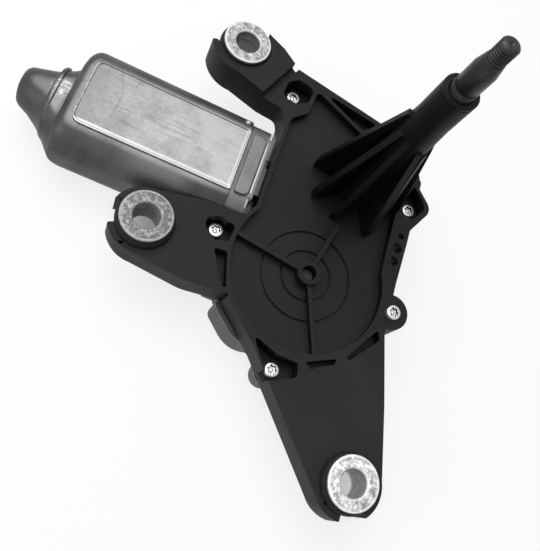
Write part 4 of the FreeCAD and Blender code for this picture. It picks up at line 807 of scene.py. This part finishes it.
def dress_motor():
    """The can with its rubbed pad, the neck's field, the flange's edge and a crimp's dimple."""
    can = piece("drawn_can", can_mesh(), finishes["can_steel"], "housing")
    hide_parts("motor_can")
    mesh = plateau_mesh("rubbed_pad", PAD_MIDDLE, PAD_HALF, PAD_CORNERS, CAN_TOP, PAD_ROWS)
    piece("rubbed_pad", mesh, finishes["can_steel"], "housing")
    mesh = plateau_mesh("neck_field", NECK_MIDDLE, NECK_HALF, NECK_CORNERS, NECK_TOP, NECK_ROWS)
    piece("neck_field", mesh, finishes["cast_metal"], "housing")
    piece("flange_rim", rim_mesh(), bright_rim, "housing")
    piece("crimp_stud", stud_mesh(), bright_rim, "housing")


def dress_front():
    """The front housing with its cut ear, the ends of two ears' arms and the top ear's lining."""
    for name, ear, profile, start, stop in (
        ("arm_end_left", "left", ARM_PROFILE, 207.0, 250.0),
        ("arm_end_bottom", "bottom", ARM_PROFILE, 236.0, 270.0),
        ("ear_lining_top", "top", LINING_PROFILE, 202.0, 410.0),
    ):
        mesh = sector_mesh(name, profile, *EARS[ear], start, stop)
        piece(name, mesh, finishes["black_plastic"], "housing")
    front = piece("moulded_front", cut_front_mesh(), finishes["black_plastic"], "housing",
                  merged=True)
    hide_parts("front_housing")


def dress_spindle():
    """The threaded bar, which turns with the output."""
    spindle = piece("spindle_bar", spindle_mesh(), dark_spindle, "output")
    mark_grooves(spindle.data)
    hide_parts("spindle")


def dress_ears():
    """A turned sleeve and a ribbed grommet in each ear."""
    for ear, (x, y) in EARS.items():
        mesh = ring_mesh("turned_sleeve_" + ear, sleeve_profile(*SLEEVE_GROOVES[ear]), x, y)
        face = mottled_sleeve("sleeve_face_" + ear, x, y, SLEEVE_PAINTED_LIGHT[ear])
        sleeve = piece("turned_sleeve_" + ear, mesh, face, "housing")
        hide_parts("sleeve_" + ear)
        mesh = ring_mesh("ribbed_grommet_" + ear, GROMMET_PROFILE, x, y)
        grommet = piece("ribbed_grommet_" + ear, mesh, finishes["rubber"], "housing")
        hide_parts("grommet_" + ear)


def dress_screws():
    """The housing's screws: one stands on the deck, and the others in its pockets."""
    for number, (x, y) in enumerate(HOUSING_SCREWS):
        level = DECK_LEVEL if number == HIGH_SCREW else POCKET_LEVEL
        label = "star_screw_%d" % (number + 1)
        mesh = screw_mesh(label, x, y, level, SCREW_SIZE)
        screw = piece(label, mesh, finishes["screw_steel"], "housing")
        darken_recess(screw, x, y, level)
        if number == 0:
            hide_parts("housing_screws")


def studio_floor():
    """A plain square floor at the part's lowest level. The camera and the metal see it as a
    white ground, shaded behind the bores, and from below it doesn't hide the part."""
    low, high = -FLOOR_HALF, FLOOR_HALF
    level = CASE_BOTTOM_LEVEL - FLOOR_GAP
    corners = np.array([[[low, low, level], [high, low, level]], [[low, high, level], [high, high, level]]])
    mesh = surface("studio_floor", corners, smooth=False)
    finish = Finish("studio_floor", grey(0.9), 0.9)
    camera, glossy, clear = (finish.node("LightPath", None, {}, "Is %s Ray" % kind)
                             for kind in ("Camera", "Glossy", "Transmission"))
    seen = (camera + glossy + clear).clamped()
    for x, y, depth in FLOOR_SHADE:
        seen = seen * (1.0 - finish.away_from(x, y).ramp_mm(20.0, 3.0) * depth)
    plain = Wire(finish, finish.shader.outputs[0])
    glow = finish.node("Emission", None, {"Color": WHITE, "Strength": 1.0})
    ground = finish.node("MixShader", None, {0: seen * FLOOR_GLOW, 1: plain, 2: glow})
    underside = finish.node("NewGeometry", None, {}, "Backfacing")
    nothing = finish.node("BsdfTransparent", None, {})
    ground = finish.node("MixShader", None, {0: underside, 1: ground, 2: nothing})
    finish.feed(finish.tree.nodes["Material Output"].inputs["Surface"], ground)
    mesh.materials.append(finish.material)
    new_object("studio_floor", mesh)


def studio_light():
    """Soft surroundings that the camera and the metal see as white, a broad lamp overhead
    and a weaker one from the left."""
    world = bpy.data.worlds.new("studio")
    bpy.context.scene.world = world
    world.use_nodes = True
    tree = world.node_tree
    ground = tree.nodes["Background"]
    ground.inputs["Color"].default_value = WHITE
    path = tree.nodes.new("ShaderNodeLightPath")
    seen = path.outputs["Is Camera Ray"]
    for ray in ("Is Glossy Ray", "Is Transmission Ray"):
        either = tree.nodes.new("ShaderNodeMath")
        either.operation = "MAXIMUM"
        tree.links.new(seen, either.inputs[0])
        tree.links.new(path.outputs[ray], either.inputs[1])
        seen = either.outputs[0]
    strength = tree.nodes.new("ShaderNodeMapRange")
    strength.inputs["To Min"].default_value = WORLD_LIGHT
    strength.inputs["To Max"].default_value = 1.0
    tree.links.new(seen, strength.inputs["Value"])
    tree.links.new(strength.outputs["Result"], ground.inputs["Strength"])
    lit_point = Vector((-0.03, -0.05, 0.0))
    for name, place, size, power in (
        ("overhead", (-0.35, 0.25, 0.9), 0.9, 9.0),
        ("left", (-0.9, -0.5, 0.6), 0.6, 3.0),
    ):
        lamp = bpy.data.lights.new(name, "AREA")
        lamp.size = size
        lamp.energy = power
        item = new_object(name, lamp)
        item.location = place
        item.rotation_euler = (lit_point - Vector(place)).to_track_quat("-Z", "Y").to_euler()


def photo_camera():
    """The photograph's view: a camera near the motor's side, turned so that the spindle
    leans to the upper right."""
    eye = Vector((-86.73, -176.13, 260.8)) * MM
    target = Vector((-31.606, -67.138, 0.0)) * MM
    roll = math.radians(47.415)
    focal_pixels = 645.0
    frame_height = 551.0
    camera = bpy.data.cameras.new("photo_camera")
    camera.sensor_width = 36.0
    camera.lens = focal_pixels / frame_height * camera.sensor_width
    camera.clip_start = 0.01
    camera.clip_end = 10.0
    item = new_object("photo_camera", camera)
    level = (target - eye).to_track_quat("-Z", "Y").to_matrix().to_4x4()
    item.matrix_world = Matrix.Translation(eye) @ level @ Matrix.Rotation(roll, 4, "Z")
    bpy.context.scene.camera = item


dress_motor()
dress_front()
dress_spindle()
dress_ears()
dress_screws()
studio_floor()
studio_light()
photo_camera()
bpy.context.scene.view_settings.view_transform = "Standard"
